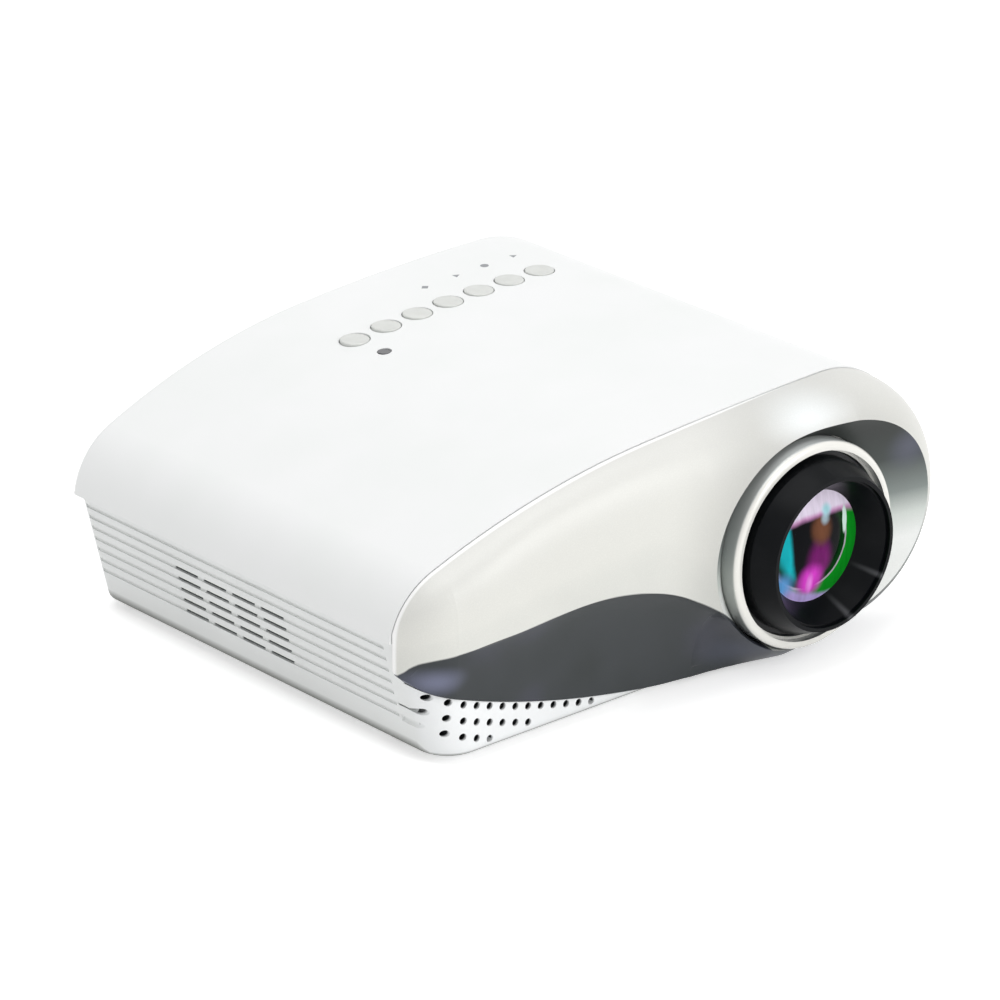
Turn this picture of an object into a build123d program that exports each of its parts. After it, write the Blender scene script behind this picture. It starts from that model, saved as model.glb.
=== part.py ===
"""Small LED projector: two-part plastic case, metallic front nose, focusing lens, light engine and electronics.

Millimetres. The origin is under the middle of the case on the surface it stands on.
The lens looks along -Y, +X is the lens side and +Z is up.
"""

import os
from math import cos, radians, sin, sqrt

from build123d import *

os.makedirs("parts", exist_ok=True)

# Case outline, seen from the front
half_width = 96.7
end_radius = 38.65
foot_height = 2.0
side_tuck = 10.3
base_left = half_width - side_tuck
split_height = 37.4
split_step = 1.5
crown_x = -12.0
crown_drop = 3.5
shoulder_in = 13.6
shoulder_drop = 23.4
drawn_half_width = 96.7
drawn_radius = 38.65

# Case in plan
rear_y = 88.0
base_front = 66.7
base_corner_radius = 11.0
rear_corner_radius = 6.0
seam_left_y = 55.5
seam_mid_y = 62.4
seam_right_y = 58.0
wall = 2.2
edge_radius = 3.0
seam_gap = 0.3

# Lens
lens_x = 39.9
lens_z = 36.2
ring_front = 80.0
ring_radius = 30.9
ring_bore_radius = 27.6
ring_depth = 7.0
barrel_radius = 25.9
barrel_rim_radius = 23.0
barrel_front = 88.0
barrel_back = 56.0
running_gap = 0.05
cell_radius = 21.8
cell_front = 86.8
cell_back = 59.0
glass_radius = 17.4
aperture_radius = 16.6
glass_front = 79.4
focus_out = 4.0
focus_in = 2.0

# Buttons
button_count = 7
button_pitch = 11.9
button_first_x = -18.4
button_y = 53.0
button_radius = 4.4
button_gap = 0.3
button_proud = 0.35
button_travel = 0.5

# Fasteners, bosses and general fits
fit_gap = 0.15
case_screw_radius = 1.5
case_screw_head = 2.8
case_screw_seat = 16.0
case_screw_top = 45.0
case_screw_left = 16.2 - half_width
case_screw_right = half_width - 17.7
case_screw_places = [
    (case_screw_left, 79.0),
    (case_screw_right, 79.0),
    (case_screw_left, -43.0),
    (case_screw_right, -50.0),
]
boss_radius = 4.4
small_screw_radius = 1.0
small_head_radius = 2.0
small_head_height = 1.2

# Button board, hung from the cover
button_places = [(button_first_x + button_pitch * i, button_y) for i in range(button_count)]
board_drop = 13.7
board_top = foot_height + 2 * end_radius - board_drop
board_thickness = 1.6
board_posts = [(-29.0, 53.0), (63.0, 53.0)]
post_radius = 2.6
window_place = (-18.0, 40.0)
window_radius = 2.0
switch_size = 6.0
switch_height = 3.1
plunger_radius = 1.6
plunger_height = 0.9

# Lens internals, as depths in front of the middle and radii round the lens axis
ring_flange = 2.6
ring_tab_width = 8.0
ring_round = 1.6
cone_radius = 21.2
glass_edge = 4.0
glass_dome = 2.4
spacer_length = 7.0
spacer_bore = 15.8
rear_lens_thickness = 4.0
retainer_length = 3.0
retainer_bore = 14.5


def dome_curve(rim):
    """Radius of the sphere whose cap has this rim radius and the height of the front lens's dome."""
    return (rim**2 + glass_dome**2) / (2 * glass_dome)


# Light engine
engine_width = 62.0
engine_height = 62.0
engine_mid_z = 38.0
engine_post_x = 39.0
engine_post_inset = 6.0
engine_post_span = engine_width - 2 * engine_post_inset
engine_posts = [(engine_post_x + side * engine_post_span / 2, y) for y in (-42.0, 38.0) for side in (-1, 1)]
engine_front = 49.0
engine_back = 46.0
engine_wall = 2.0
lid_thickness = 2.0
holder_flange = 3.0
holder_front = 76.0
holder_screw_inset = 3.0
holder_screw_span = engine_width - 2 * holder_screw_inset
plate_gap = 0.3
rib = 1.5
plate_names = ["field_lens", "lcd_panel", "collimator_lens", "condenser_holder"]
engine_plates = [(-10.0, 1.5), (-2.0, 2.4), (8.0, 1.5), (28.0, 4.0)]
condenser_radius = 23.0
condenser_dome = 8.0
led_board_radius = 14.0
led_size = 12.0
led_height = 1.6
sink_base = 4.0
sink_depth = 28.0
sink_height = 54.0
sink_mid_z = 35.0
fin_pitch = 5.6
fin_count = 11
fin_thickness = 1.4

# Fan
fan_inset = 18.7
fan_x = fan_inset - half_width
fan_y = 20.4
fan_z = 29.4
fan_size = 50.0
fan_depth = 15.0
fan_bore = 23.5
fan_hub = 9.5
fan_spoke = 2.0
fan_shaft_radius = 3.0
fan_cap = 2.0
fan_end_gap = 0.5
fan_hole_span = 40.0
blade_count = 7
blade_chord = 12.0
blade_thickness = 1.2
blade_pitch = 40.0

# Loudspeaker
speaker_x = -61.0
speaker_z = 12.4
speaker_width = 36.0
speaker_height = 16.0
speaker_front = 57.0
speaker_rib_height = 6.0
speaker_depth = 7.0
magnet_radius = 6.5
magnet_depth = 4.0

# Main board and sockets
main_board_z = 9.0
main_board_posts = [(-54.0, -38.0), (-18.0, -38.0), (-54.0, 60.0), (-18.0, 60.0)]
main_board_outline = [
    (-60.0, -44.0),
    (-12.0, -44.0),
    (-12.0, 76.5),
    (35.0, 76.5),
    (35.0, 85.3),
    (-74.0, 85.3),
    (-74.0, 52.0),
    (-60.0, 52.0),
]
port_recess = 0.3
port_gap = 0.3
usb_x = -27.5
usb_width = 14.5
usb_depth = 13.5
usb_height = 7.0
hdmi_x = -7.5
hdmi_width = 15.0
hdmi_depth = 11.0
hdmi_height = 6.0
vga_x = 18.0
vga_width = 31.0
vga_depth = 10.5
vga_height = 12.5
jack_names = ["av_jack", "audio_jack"]
jack_xs = [-54.5, -42.5]
jack_height = 7.0
jack_depth = 11.0
jack_nose_radius = 3.0
jack_bore = 1.8
jack_bore_depth = 12.0
dc_x = -67.5
dc_width = 9.0
dc_depth = 13.5
dc_height = 11.0
dc_bore = 2.8
dc_pin = 1.0
dc_bore_depth = 9.0
processor_place = (-36.0, 6.0)
processor_size = 20.0
processor_height = 2.0
capacitor_places = [(-54.0, 34.0), (-44.0, 34.0), (-54.0, -20.0)]
capacitor_radius = 4.0
capacitor_height = 12.0
socket_deck = main_board_z + 1.6
port_cuts = [
    (usb_width, usb_height, usb_x, socket_deck + usb_height / 2),
    (hdmi_width, hdmi_height, hdmi_x, socket_deck + hdmi_height / 2),
    (vga_width, vga_height, vga_x, socket_deck + vga_height / 2),
    (dc_width, dc_height, dc_x, socket_deck + dc_height / 2),
]
round_port_places = [(x, socket_deck + jack_height / 2) for x in jack_xs]
outlet_x = 62.0
outlet_z = 23.0
outlet_pitch = 4.6
outlet_count = 7
outlet_width = 2.2
outlet_height = 18.0

# Button board outline and the buttons
button_board_outline = [
    (-33.0, 47.5),
    (-25.0, 47.5),
    (-25.0, 35.0),
    (-11.0, 35.0),
    (-11.0, 47.5),
    (67.0, 47.5),
    (67.0, 59.0),
    (-33.0, 59.0),
]
button_flange = 5.6
button_flange_height = 1.0
button_names = [
    "power_button",
    "source_button",
    "menu_button",
    "left_button",
    "ok_button",
    "right_button",
    "back_button",
]

# Feet and tripod insert
foot_place = (-5.0, -48.0)
foot_recess = 3.0
foot_recess_radius = 10.5
foot_boss_radius = 7.0
foot_boss_top = 22.0
foot_nut_radius = 5.0
foot_nut_height = 8.0
foot_stud_radius = 3.0
foot_stud_top = 20.0
foot_knob_radius = 9.5
foot_knob_height = 3.0
foot_pad_height = 1.0
foot_grip_radius = 0.8
rear_foot_places = [(-62.0, 66.0), (50.0, 66.0)]
rear_foot_radius = 5.5
rear_foot_recess = 0.8
tripod_place = (-3.5, 6.0)
tripod_boss_radius = 6.6
tripod_insert_radius = 4.8
tripod_top = 12.0
tripod_thread_radius = 3.1
tripod_thread_depth = 8.0

# Openings of the base
groove_count = 7
groove_first_z = 34.2
groove_pitch = 3.6
groove_height = 1.3
groove_depth = 0.7
groove_length = 134.0
groove_mid_y = 16.5
slot_rows = 5
slot_columns = 4
slot_pitch = 12.9
slot_length = 10.2
slot_height = 1.3
slot_mid_y = 20.4
sound_hole_radius = 1.1
sound_column_pitch = 4.67
sound_row_pitch = 4.9
sound_first_x = -89.0
sound_columns = 13
sound_margin = 1.6


def front_plane(depth):
    """Sketch plane square to the lens axis, depth mm in front of the middle, extruding forwards."""
    return Plane.XZ.offset(depth)


# Outline of the case in the front view, as (x, z): the right end is a half round
bottom_z = foot_height
end_x = half_width - end_radius
end_z = bottom_z + end_radius
top_height = bottom_z + 2 * end_radius
crown_end = (crown_x, top_height - crown_drop)
shoulder_end = (shoulder_in - half_width, top_height - shoulder_drop)
crown_right = TangentArc((end_x, top_height), crown_end, tangent=(-1.0, 0.0))
crown_left = TangentArc(crown_right @ 1, shoulder_end, tangent=crown_right % 1)
left_shoulder = TangentArc(crown_left @ 1, (-half_width, split_height), tangent=crown_left % 1)


def height_on(curve, x):
    """Height at which an arc of the outline passes over x."""
    low, high = 0.0, 1.0
    for _ in range(24):
        middle = (low + high) / 2
        if (curve @ middle).X > x:
            low = middle
        else:
            high = middle
    return (curve @ low).Y


def fair(points, x):
    """Value at x of a smooth curve through points that stand in order of x."""
    slopes = [(q[1] - p[1]) / (q[0] - p[0]) for p, q in zip(points, points[1:])]
    span = 0
    while span < len(slopes) - 1 and x > points[span + 1][0]:
        span += 1
    (x0, y0), (x1, y1) = points[span], points[span + 1]
    entry = slopes[span] if span == 0 else (slopes[span - 1] + slopes[span]) / 2
    leave = slopes[span] if span == len(slopes) - 1 else (slopes[span] + slopes[span + 1]) / 2
    width = x1 - x0
    t = (x - x0) / width
    start = (1 + 2 * t) * (1 - t) ** 2 * y0 + t * (1 - t) ** 2 * width * entry
    return start + t * t * (3 - 2 * t) * y1 + t * t * (t - 1) * width * leave


def top_at(x):
    """Height of the outside of the case at x."""
    if x > end_x:
        return end_z + sqrt(end_radius**2 - (x - end_x) ** 2)
    if x > (crown_right @ 1).X:
        return height_on(crown_right, x)
    if x > (crown_left @ 1).X:
        return height_on(crown_left, x)
    return height_on(left_shoulder, x)


def fitted(points, rise=1.0):
    """Points drawn on the case at its drawn width, carried to its present width, and stretched upwards by rise."""
    return [(x * half_width / drawn_half_width, bottom_z + (value - bottom_z) * rise) for x, value in points]


# Front nose: its leading edge in plan as (x, depth), and its two long curves in the front view as (x, z)
nose_floor = bottom_z + 0.1
nose_end = (end_x, 82.0)
nose_plan = fitted([
    (-96.7, 55.0),
    (-93.5, 60.6),
    (-89.0, 65.2),
    (-82.0, 68.4),
    (-50.0, 72.0),
    (-10.0, 77.2),
    (22.0, 81.0),
    (45.0, 82.0),
])
nose_plan.append(nose_end)
crease_left = [
    (-96.7, 22.0),
    (-91.7, 31.7),
    (-84.0, 34.2),
    (-58.5, 36.8),
    (-33.2, 39.0),
    (-12.0, 35.0),
    (5.6, 25.0),
    (23.8, 11.5),
    (34.0, 16.0),
]
crease = fitted(crease_left, end_radius / drawn_radius) + [(end_x, end_z)]
bottom_left = [
    (-96.7, 30.0),
    (-91.7, 24.9),
    (-82.6, 21.0),
    (-68.8, 16.3),
    (-54.9, 12.2),
    (-40.7, 8.7),
    (-26.4, 5.9),
    (-11.9, 3.6),
    (4.0, 2.1),
]
nose_bottom = fitted(bottom_left, end_radius / drawn_radius) + [(end_x, nose_floor)]
lip_x = 34.0
lip_depth = 70.6
nose_wall = 2.0
nose_brow = 5.0
nose_back = 50.0
nose_tip = 0.8 - half_width
nose_corner = 14.1 - half_width
nose_middle = 4.0
nose_steps = (6, 8, 6, 3)
seam_left = (-half_width - 4.0, -seam_left_y + 0.5)
seam_middle = (-10.0, -seam_mid_y)
seam_right = (half_width + 4.0, -seam_right_y)


def seam_depth(x):
    """Depth of the front edge of the cover at x, on one shallow arc."""
    side = seam_left_y if x < 0 else seam_right_y
    return seam_mid_y - (seam_mid_y - side) * (x / half_width) ** 2


def base_depth(x):
    """Depth of the front wall of the base at x, round the left corner."""
    corner_x = -(half_width - split_step) + base_corner_radius + 1.5
    if x > corner_x:
        return base_front
    across = min(corner_x - x, base_corner_radius * 0.98)
    return base_front - base_corner_radius + sqrt(base_corner_radius**2 - across**2)


def ease(x, start, end):
    """Share from 0 to 1 that grows smoothly between two places along X."""
    share = min(max((x - start) / (end - start), 0.0), 1.0)
    return share * share * (3.0 - 2.0 * share)


def nose_section(x, inset):
    """Upright section of the nose at x, drawn in by inset: brow, face, crease and the hollow below it."""
    top_z = top_at(x) - inset - seam_gap
    low_z = fair(nose_bottom, x) + inset
    lead = fair(nose_plan, x) - inset
    back = seam_depth(x)
    forward = ease(x, 0.0, lip_x)
    low_back = min(base_depth(x) + 0.6, lead - 0.5) + (lip_depth - base_front) * forward
    low_back += (back - low_back) * ease(x, lip_x, end_x) - inset / 4
    full = ease(x, 10.0, end_x)
    soft = ease(x, 10.0, lip_x)
    crease_z = min(max(fair(crease, x), low_z + 1.0), top_z - 1.0)
    drop = top_z - crease_z
    rise = crease_z - low_z
    under = (lead - low_back) * 0.7 * (1.0 - soft)
    tuck = 0.15 + 0.55 * soft
    with BuildSketch(Plane.YZ.offset(x)) as section:
        with BuildLine():
            Bezier(
                (-back, top_z),
                (-lead + nose_brow * full, top_z - 0.03 * drop * (1.0 - full)),
                (-lead, crease_z + (0.6 + 0.1 * full) * drop),
                (-lead, crease_z),
            )
            Bezier(
                (-lead, crease_z),
                (-lead + under, crease_z - tuck * rise),
                (-low_back - (lead - low_back - nose_brow) * full, low_z + 0.35 * rise * (1.0 - soft)),
                (-low_back, low_z),
            )
            Polyline((-low_back, low_z), (-nose_back, low_z), (-nose_back, top_z), (-back, top_z))
        make_face()
    return section.sketch


def nose(inset, start):
    """The nose drawn in by inset: four lofts from the left tip and a half turn of the last section."""
    joints = (start, nose_corner, nose_middle, lip_x, end_x)
    with BuildPart() as body:
        for left, right, steps in zip(joints, joints[1:], nose_steps):
            places = [left + (right - left) * step / steps for step in range(steps + 1)]
            loft([nose_section(x, inset) for x in places])
        with BuildSketch(Plane.YZ.offset(end_x)):
            radius = end_radius - seam_gap - inset
            lead = fair(nose_plan, end_x) - inset
            back = seam_depth(end_x)
            with BuildLine():
                Polyline((-lead, end_z), (-nose_back, end_z), (-nose_back, end_z + radius), (-back, end_z + radius))
                Bezier(
                    (-back, end_z + radius),
                    (-lead + nose_brow, end_z + radius),
                    (-lead, end_z + 0.7 * radius),
                    (-lead, end_z),
                )
            make_face()
        revolve(axis=Axis((end_x, 0, end_z), (0, 1, 0)), revolution_arc=180)
        split(bisect_by=Plane.XY.offset(nose_floor + inset), keep=Keep.TOP)
    return body.part


def behind_seam(gap):
    """Everything behind the seam between nose and case, held back by gap."""
    shift = Vector(0, -gap)
    with BuildPart() as rear:
        with BuildSketch(Plane.XY.offset(-1.0)):
            with BuildLine():
                ThreePointArc(Vector(*seam_left) + shift, Vector(*seam_middle) + shift, Vector(*seam_right) + shift)
                Polyline(
                    Vector(*seam_right) + shift,
                    (seam_right[0], rear_y + 1.0),
                    (seam_left[0], rear_y + 1.0),
                    Vector(*seam_left) + shift,
                )
            make_face()
        extrude(amount=top_height + 2.0)
    return rear.part


# Front bezel: the nose hollowed, with a dish sunk round the lens and a bore for the lens ring
dish_floor = 74.2
dish_half_width = 42.0
dish_half_height = 33.5
dish_x = 43.4
dish_z = 38.1
dish_edge = 78.6
dish_far = 86.6
dish_tilt = 4.0
ring_gap = 0.3


def dish(grow, sink):
    """Oblique bowl round the lens, from the ring outwards, made larger by grow and deeper by sink."""
    floor_radius = ring_radius + ring_gap
    spread = (dish_far - dish_floor) / (dish_edge - dish_floor)
    far_x = lens_x + (dish_x - lens_x) * spread
    far_z = lens_z + (dish_z - lens_z) * spread
    with BuildPart() as bowl:
        with BuildSketch(front_plane(dish_floor - sink).shift_origin((lens_x, -dish_floor + sink, lens_z))):
            Circle(floor_radius + grow)
        edge_plane = Plane(
            origin=(far_x, -dish_far + sink, far_z),
            x_dir=(cos(radians(dish_tilt)), sin(radians(dish_tilt)), 0),
            z_dir=(sin(radians(dish_tilt)), -cos(radians(dish_tilt)), 0),
        )
        with BuildSketch(edge_plane):
            Ellipse(
                floor_radius + (dish_half_width - floor_radius) * spread + grow,
                floor_radius + (dish_half_height - floor_radius) * spread + grow,
            )
        loft()
    return bowl.part


outer_nose = nose(0.0, nose_tip)
inner_nose = nose(nose_wall, nose_tip + nose_wall)
dish_cut = dish(0.0, 0.0)
dish_back = dish(nose_wall, nose_wall)

with BuildPart() as nose_hollow:
    add(inner_nose)
    add(dish_back, mode=Mode.SUBTRACT)

with BuildPart() as front_bezel:
    add(outer_nose)
    add(behind_seam(seam_gap), mode=Mode.SUBTRACT)
    add(nose_hollow.part, mode=Mode.SUBTRACT)
    add(dish_cut, mode=Mode.SUBTRACT)
    with BuildSketch(front_plane(base_front - 12.0)):
        with Locations((lens_x, lens_z)):
            Circle(ring_radius + ring_gap)
    extrude(amount=40.0, mode=Mode.SUBTRACT)
front_bezel.part.label = "front_bezel"
export_step(front_bezel.part, "parts/front_bezel.step")


def cover_block(inset, drop):
    """The upper half of the case as a block drawn in by inset and let down below the split by drop."""
    with BuildPart() as block:
        with BuildSketch(front_plane(-rear_y + inset)):
            with BuildLine():
                add(crown_right)
                add(crown_left)
                add(left_shoulder)
                Polyline(
                    (-half_width, split_height),
                    (-half_width, split_height - drop),
                    (half_width, split_height - drop),
                    (half_width, end_z),
                )
                TangentArc((half_width, end_z), (end_x, top_height), tangent=(0.0, 1.0))
            make_face()
            if inset > 0:
                offset(amount=-inset)
        extrude(amount=2 * rear_y)
    return block.part


cover_core = cover_block(wall / 2, wall)

with BuildPart() as top_cover:
    add(cover_block(0.0, wall))
    split(bisect_by=Plane.XY.offset(split_height), keep=Keep.TOP)
    rear_face = top_cover.faces().sort_by(Axis.Y)[-1]
    fillet(rear_face.edges().sort_by(Axis.Z)[1:], radius=edge_radius)
    add(behind_seam(0.0), mode=Mode.INTERSECT)
    add(cover_block(wall, 2 * wall + 1.0), mode=Mode.SUBTRACT)
    # Button holes, infrared window and the posts that carry the button board
    with BuildSketch(Plane.XY.offset(split_height)):
        with Locations(*button_places):
            Circle(button_radius + button_gap)
        with Locations(window_place):
            Circle(window_radius + fit_gap)
    extrude(amount=top_height, mode=Mode.SUBTRACT)
    with BuildSketch(Plane.XY.offset(board_top)):
        with Locations(*board_posts):
            Circle(post_radius)
    post = extrude(amount=top_height, mode=Mode.PRIVATE)
    add(post & cover_core, mode=Mode.ADD)
    with BuildSketch(Plane.XY.offset(split_height)):
        with Locations(*case_screw_places):
            Circle(boss_radius)
    boss = extrude(amount=top_height, mode=Mode.PRIVATE)
    add(boss & cover_core, mode=Mode.ADD)
    with BuildSketch(Plane.XY.offset(split_height - 1.0)):
        with Locations(*case_screw_places):
            Circle(case_screw_radius + running_gap)
    extrude(amount=case_screw_top - split_height + 2.0, mode=Mode.SUBTRACT)
    with BuildSketch(Plane.XY.offset(board_top - 1.0)):
        with Locations(*board_posts):
            Circle(small_screw_radius + running_gap)
    extrude(amount=5.0, mode=Mode.SUBTRACT)
top_cover.part.label = "top_cover"
export_step(top_cover.part, "parts/top_cover.step")


side_lean = (half_width - split_step - base_left) / (split_height - bottom_z)


def base_block(inset, rise):
    """The lower half of the case as a block drawn in by inset and carried above the split by rise."""
    low = bottom_z + inset
    high = split_height + rise
    left = -base_left + inset * sqrt(1 + side_lean**2) - side_lean * inset
    radius = end_radius - inset
    with BuildPart() as block:
        with BuildSketch(front_plane(-rear_y + inset)):
            with BuildLine():
                Polyline(
                    (end_x, low),
                    (left, low),
                    (left - side_lean * (end_z + wall - low), end_z + wall),
                    (end_x + radius, end_z + wall),
                    (end_x + radius, end_z),
                )
                TangentArc((end_x + radius, end_z), (end_x, low), tangent=(0.0, -1.0))
            make_face()
        extrude(amount=rear_y + base_front - 2 * inset)
        split(bisect_by=Plane.XY.offset(high), keep=Keep.BOTTOM)
        upright = block.edges().filter_by(lambda e: abs(e.tangent_at(0.5).Z) > 0.9)
        front_corner, rear_corner = upright.sort_by(Axis.X)[:2].sort_by(Axis.Y)
        fillet(front_corner, radius=base_corner_radius - inset)
        fillet(rear_corner, radius=rear_corner_radius - inset)
        under = block.faces().sort_by(Axis.Z)[0].edges().sort_by(Axis.X)[:-1]
        fillet(under, radius=edge_radius)
    return block.part


base_core = base_block(wall / 2, 0.0)
sound_holes = []
for column in range(sound_columns):
    hole_x = sound_first_x + sound_column_pitch * column
    for row in range(3):
        hole_z = fair(nose_bottom, hole_x) - sound_margin - sound_row_pitch * row
        if hole_z > bottom_z + edge_radius:
            sound_holes.append((hole_x, hole_z))

with BuildPart() as base_shell:
    add(base_block(0.0, 0.0))
    add(base_block(wall, 1.0), mode=Mode.SUBTRACT)
    add(nose(-seam_gap, nose_tip) - behind_seam(0.0), mode=Mode.SUBTRACT)
    with BuildSketch(front_plane(seam_left_y)):
        with Locations((-half_width, split_height)):
            Rectangle(2 * base_corner_radius, 2 * edge_radius)
    corner_cut = extrude(amount=base_corner_radius + wall, mode=Mode.PRIVATE)
    add(corner_cut - behind_seam(0.0), mode=Mode.SUBTRACT)
    # Screw bosses, board posts, foot and tripod bosses
    with BuildSketch(Plane.XY.offset(bottom_z + wall / 2)):
        with Locations(*case_screw_places):
            Circle(boss_radius)
    boss = extrude(amount=split_height - bottom_z - wall / 2, mode=Mode.PRIVATE)
    add(boss & base_core)
    with BuildSketch(Plane.XY.offset(bottom_z + wall / 2)):
        with Locations(*main_board_posts):
            Circle(post_radius)
    extrude(amount=main_board_z - bottom_z - wall / 2)
    with BuildSketch(Plane.XY.offset(bottom_z + wall / 2)):
        with Locations(foot_place):
            Circle(foot_boss_radius)
    extrude(amount=foot_boss_top - bottom_z - wall / 2)
    with BuildSketch(Plane.XY.offset(bottom_z + wall / 2)):
        with Locations(foot_place):
            Circle(foot_recess_radius + wall)
    extrude(amount=foot_recess + wall / 2)
    with BuildSketch(Plane.XY.offset(bottom_z + wall / 2)):
        with Locations(*engine_posts):
            Circle(post_radius)
    post = extrude(amount=engine_mid_z - engine_height / 2 - bottom_z - wall / 2, mode=Mode.PRIVATE)
    add(post & base_core)
    with BuildSketch(Plane.XY.offset(bottom_z + wall / 2)):
        for side in (-1, 1):
            with Locations((speaker_x + side * (speaker_width / 2 - 6.0), -(speaker_front + base_front - wall / 2) / 2)):
                Rectangle(wall, base_front - wall / 2 - speaker_front)
    extrude(amount=speaker_rib_height)
    with BuildSketch(Plane.XY.offset(bottom_z + wall / 2)):
        with Locations(tripod_place):
            Circle(tripod_boss_radius)
    extrude(amount=tripod_top + 2.0 - bottom_z - wall / 2)
    # Holes from below
    with BuildSketch(Plane.XY.offset(-1.0)):
        with Locations(*case_screw_places):
            Circle(case_screw_head + fit_gap)
    extrude(amount=case_screw_seat + 1.0, mode=Mode.SUBTRACT)
    with BuildSketch(Plane.XY.offset(-1.0)):
        with Locations(*case_screw_places):
            Circle(case_screw_radius + running_gap)
    extrude(amount=split_height + 2.0, mode=Mode.SUBTRACT)
    with BuildSketch(Plane.XY.offset(bottom_z)):
        with Locations(foot_place):
            Circle(foot_recess_radius)
    extrude(amount=foot_recess, mode=Mode.SUBTRACT)
    with BuildSketch(Plane.XY.offset(bottom_z)):
        with Locations(foot_place):
            Circle(foot_nut_radius)
    extrude(amount=foot_boss_top, mode=Mode.SUBTRACT)
    with BuildSketch(Plane.XY.offset(bottom_z)):
        with Locations(tripod_place):
            Circle(tripod_insert_radius)
    extrude(amount=tripod_top - bottom_z, mode=Mode.SUBTRACT)
    with BuildSketch(Plane.XY.offset(bottom_z)):
        with Locations(*rear_foot_places):
            Circle(rear_foot_radius + fit_gap)
    extrude(amount=rear_foot_recess, mode=Mode.SUBTRACT)
    with BuildSketch(Plane.XY.offset(main_board_z - 4.0)):
        with Locations(*main_board_posts):
            Circle(small_screw_radius + running_gap)
        with Locations(*engine_posts):
            Circle(small_screw_radius + running_gap)
    extrude(amount=4.0, mode=Mode.SUBTRACT)
    # Left side: long grooves, with slots through the middle of the lower ones
    for row in range(groove_count):
        groove_z = groove_first_z - groove_pitch * row
        groove_x = -base_left - side_lean * (groove_z - bottom_z)
        with BuildSketch(Plane.YZ.offset(groove_x - 3.0)):
            with Locations((groove_mid_y, groove_z)):
                Rectangle(groove_length, groove_height)
        extrude(amount=3.0 + groove_depth, mode=Mode.SUBTRACT)
        if row >= groove_count - slot_rows:
            with BuildSketch(Plane.YZ.offset(groove_x - 3.0)):
                with Locations((slot_mid_y, groove_z)):
                    with GridLocations(slot_pitch, 1.0, slot_columns, 1):
                        Rectangle(slot_length, slot_height)
            extrude(amount=3.0 + 2 * wall, mode=Mode.SUBTRACT)
    # Front left: sound holes in rows that follow the edge of the nose
    with BuildSketch(front_plane(base_front - 2 * wall - base_corner_radius)):
        with Locations(*sound_holes):
            Circle(sound_hole_radius)
    extrude(amount=20.0, mode=Mode.SUBTRACT)
    # Rear wall: port openings and outlet slots
    for width, height, x, z in port_cuts:
        with BuildSketch(front_plane(-rear_y - 1.0)):
            with Locations((x, z)):
                Rectangle(width + 2 * port_gap, height + 2 * port_gap)
        extrude(amount=wall + 2.0, mode=Mode.SUBTRACT)
    with BuildSketch(front_plane(-rear_y - 1.0)):
        with Locations(*round_port_places):
            Circle(jack_nose_radius + port_gap)
        with Locations((outlet_x, outlet_z)):
            with GridLocations(outlet_pitch, 1.0, outlet_count, 1):
                Rectangle(outlet_width, outlet_height)
    extrude(amount=wall + 2.0, mode=Mode.SUBTRACT)
base_shell.part.label = "base_shell"
export_step(base_shell.part, "parts/base_shell.step")


def lens_sketch(*outline):
    """Closed half profile round the lens axis from (depth, radius) points."""
    with BuildSketch(Plane.YZ.offset(lens_x)) as half:
        with BuildLine():
            Polyline(*[(-depth, lens_z + radius) for depth, radius in outline], close=True)
        make_face()
    return half.sketch


lens_axis = Axis((lens_x, 0, lens_z), (0, 1, 0))
ring_back = dish_floor - nose_wall - ring_gap

with BuildPart() as lens_ring:
    add(lens_sketch(
        (ring_front, ring_bore_radius + 0.8),
        (ring_front, ring_radius),
        (ring_back - nose_wall, ring_radius),
        (ring_back - nose_wall, ring_bore_radius),
        (ring_front - 2.6, ring_bore_radius),
        (ring_front - 2.6, ring_bore_radius + 0.8),
    ))
    revolve(axis=lens_axis)
    rim = lens_ring.edges().filter_by(GeomType.CIRCLE).filter_by(lambda e: abs(e.radius - ring_radius) < 0.01)
    fillet(rim.sort_by(Axis.Y)[0], radius=ring_round)
    # Tabs that hold the ring behind the floor of the dish
    with BuildSketch(front_plane(ring_back - nose_wall)):
        with Locations((lens_x, lens_z)):
            with PolarLocations(ring_radius, 4, start_angle=-30, angular_range=180):
                Rectangle(2 * ring_flange, ring_tab_width)
    extrude(amount=nose_wall)
lens_ring.part.label = "lens_ring"
export_step(lens_ring.part, "parts/lens_ring.step")

holder_bore = barrel_radius + running_gap
with BuildPart() as lens_holder:
    with BuildSketch(front_plane(engine_front)):
        with Locations((lens_x, engine_mid_z)):
            RectangleRounded(engine_width, engine_height, 4.0)
        with Locations((lens_x, lens_z)):
            Circle(holder_bore, mode=Mode.SUBTRACT)
        with Locations((lens_x, engine_mid_z)):
            with GridLocations(holder_screw_span, holder_screw_span, 2, 2):
                Circle(small_screw_radius + running_gap, mode=Mode.SUBTRACT)
    extrude(amount=holder_flange)
    with BuildSketch(front_plane(engine_front + holder_flange)):
        with Locations((lens_x, lens_z)):
            Circle(ring_bore_radius - ring_gap)
            Circle(holder_bore, mode=Mode.SUBTRACT)
    extrude(amount=holder_front - engine_front - holder_flange)
lens_holder.part.label = "lens_holder"
export_step(lens_holder.part, "parts/lens_holder.step")

with BuildPart() as focus_ring:
    add(lens_sketch(
        (barrel_back, cell_radius + running_gap),
        (barrel_back, barrel_radius),
        (ring_front + 0.6, barrel_radius),
        (barrel_front - 1.2, barrel_rim_radius + 0.5),
        (barrel_front, barrel_rim_radius),
        (barrel_front, cell_radius + running_gap),
    ))
    revolve(axis=lens_axis)
focus_ring.part.label = "focus_ring"
export_step(focus_ring.part, "parts/focus_ring.step")

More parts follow.
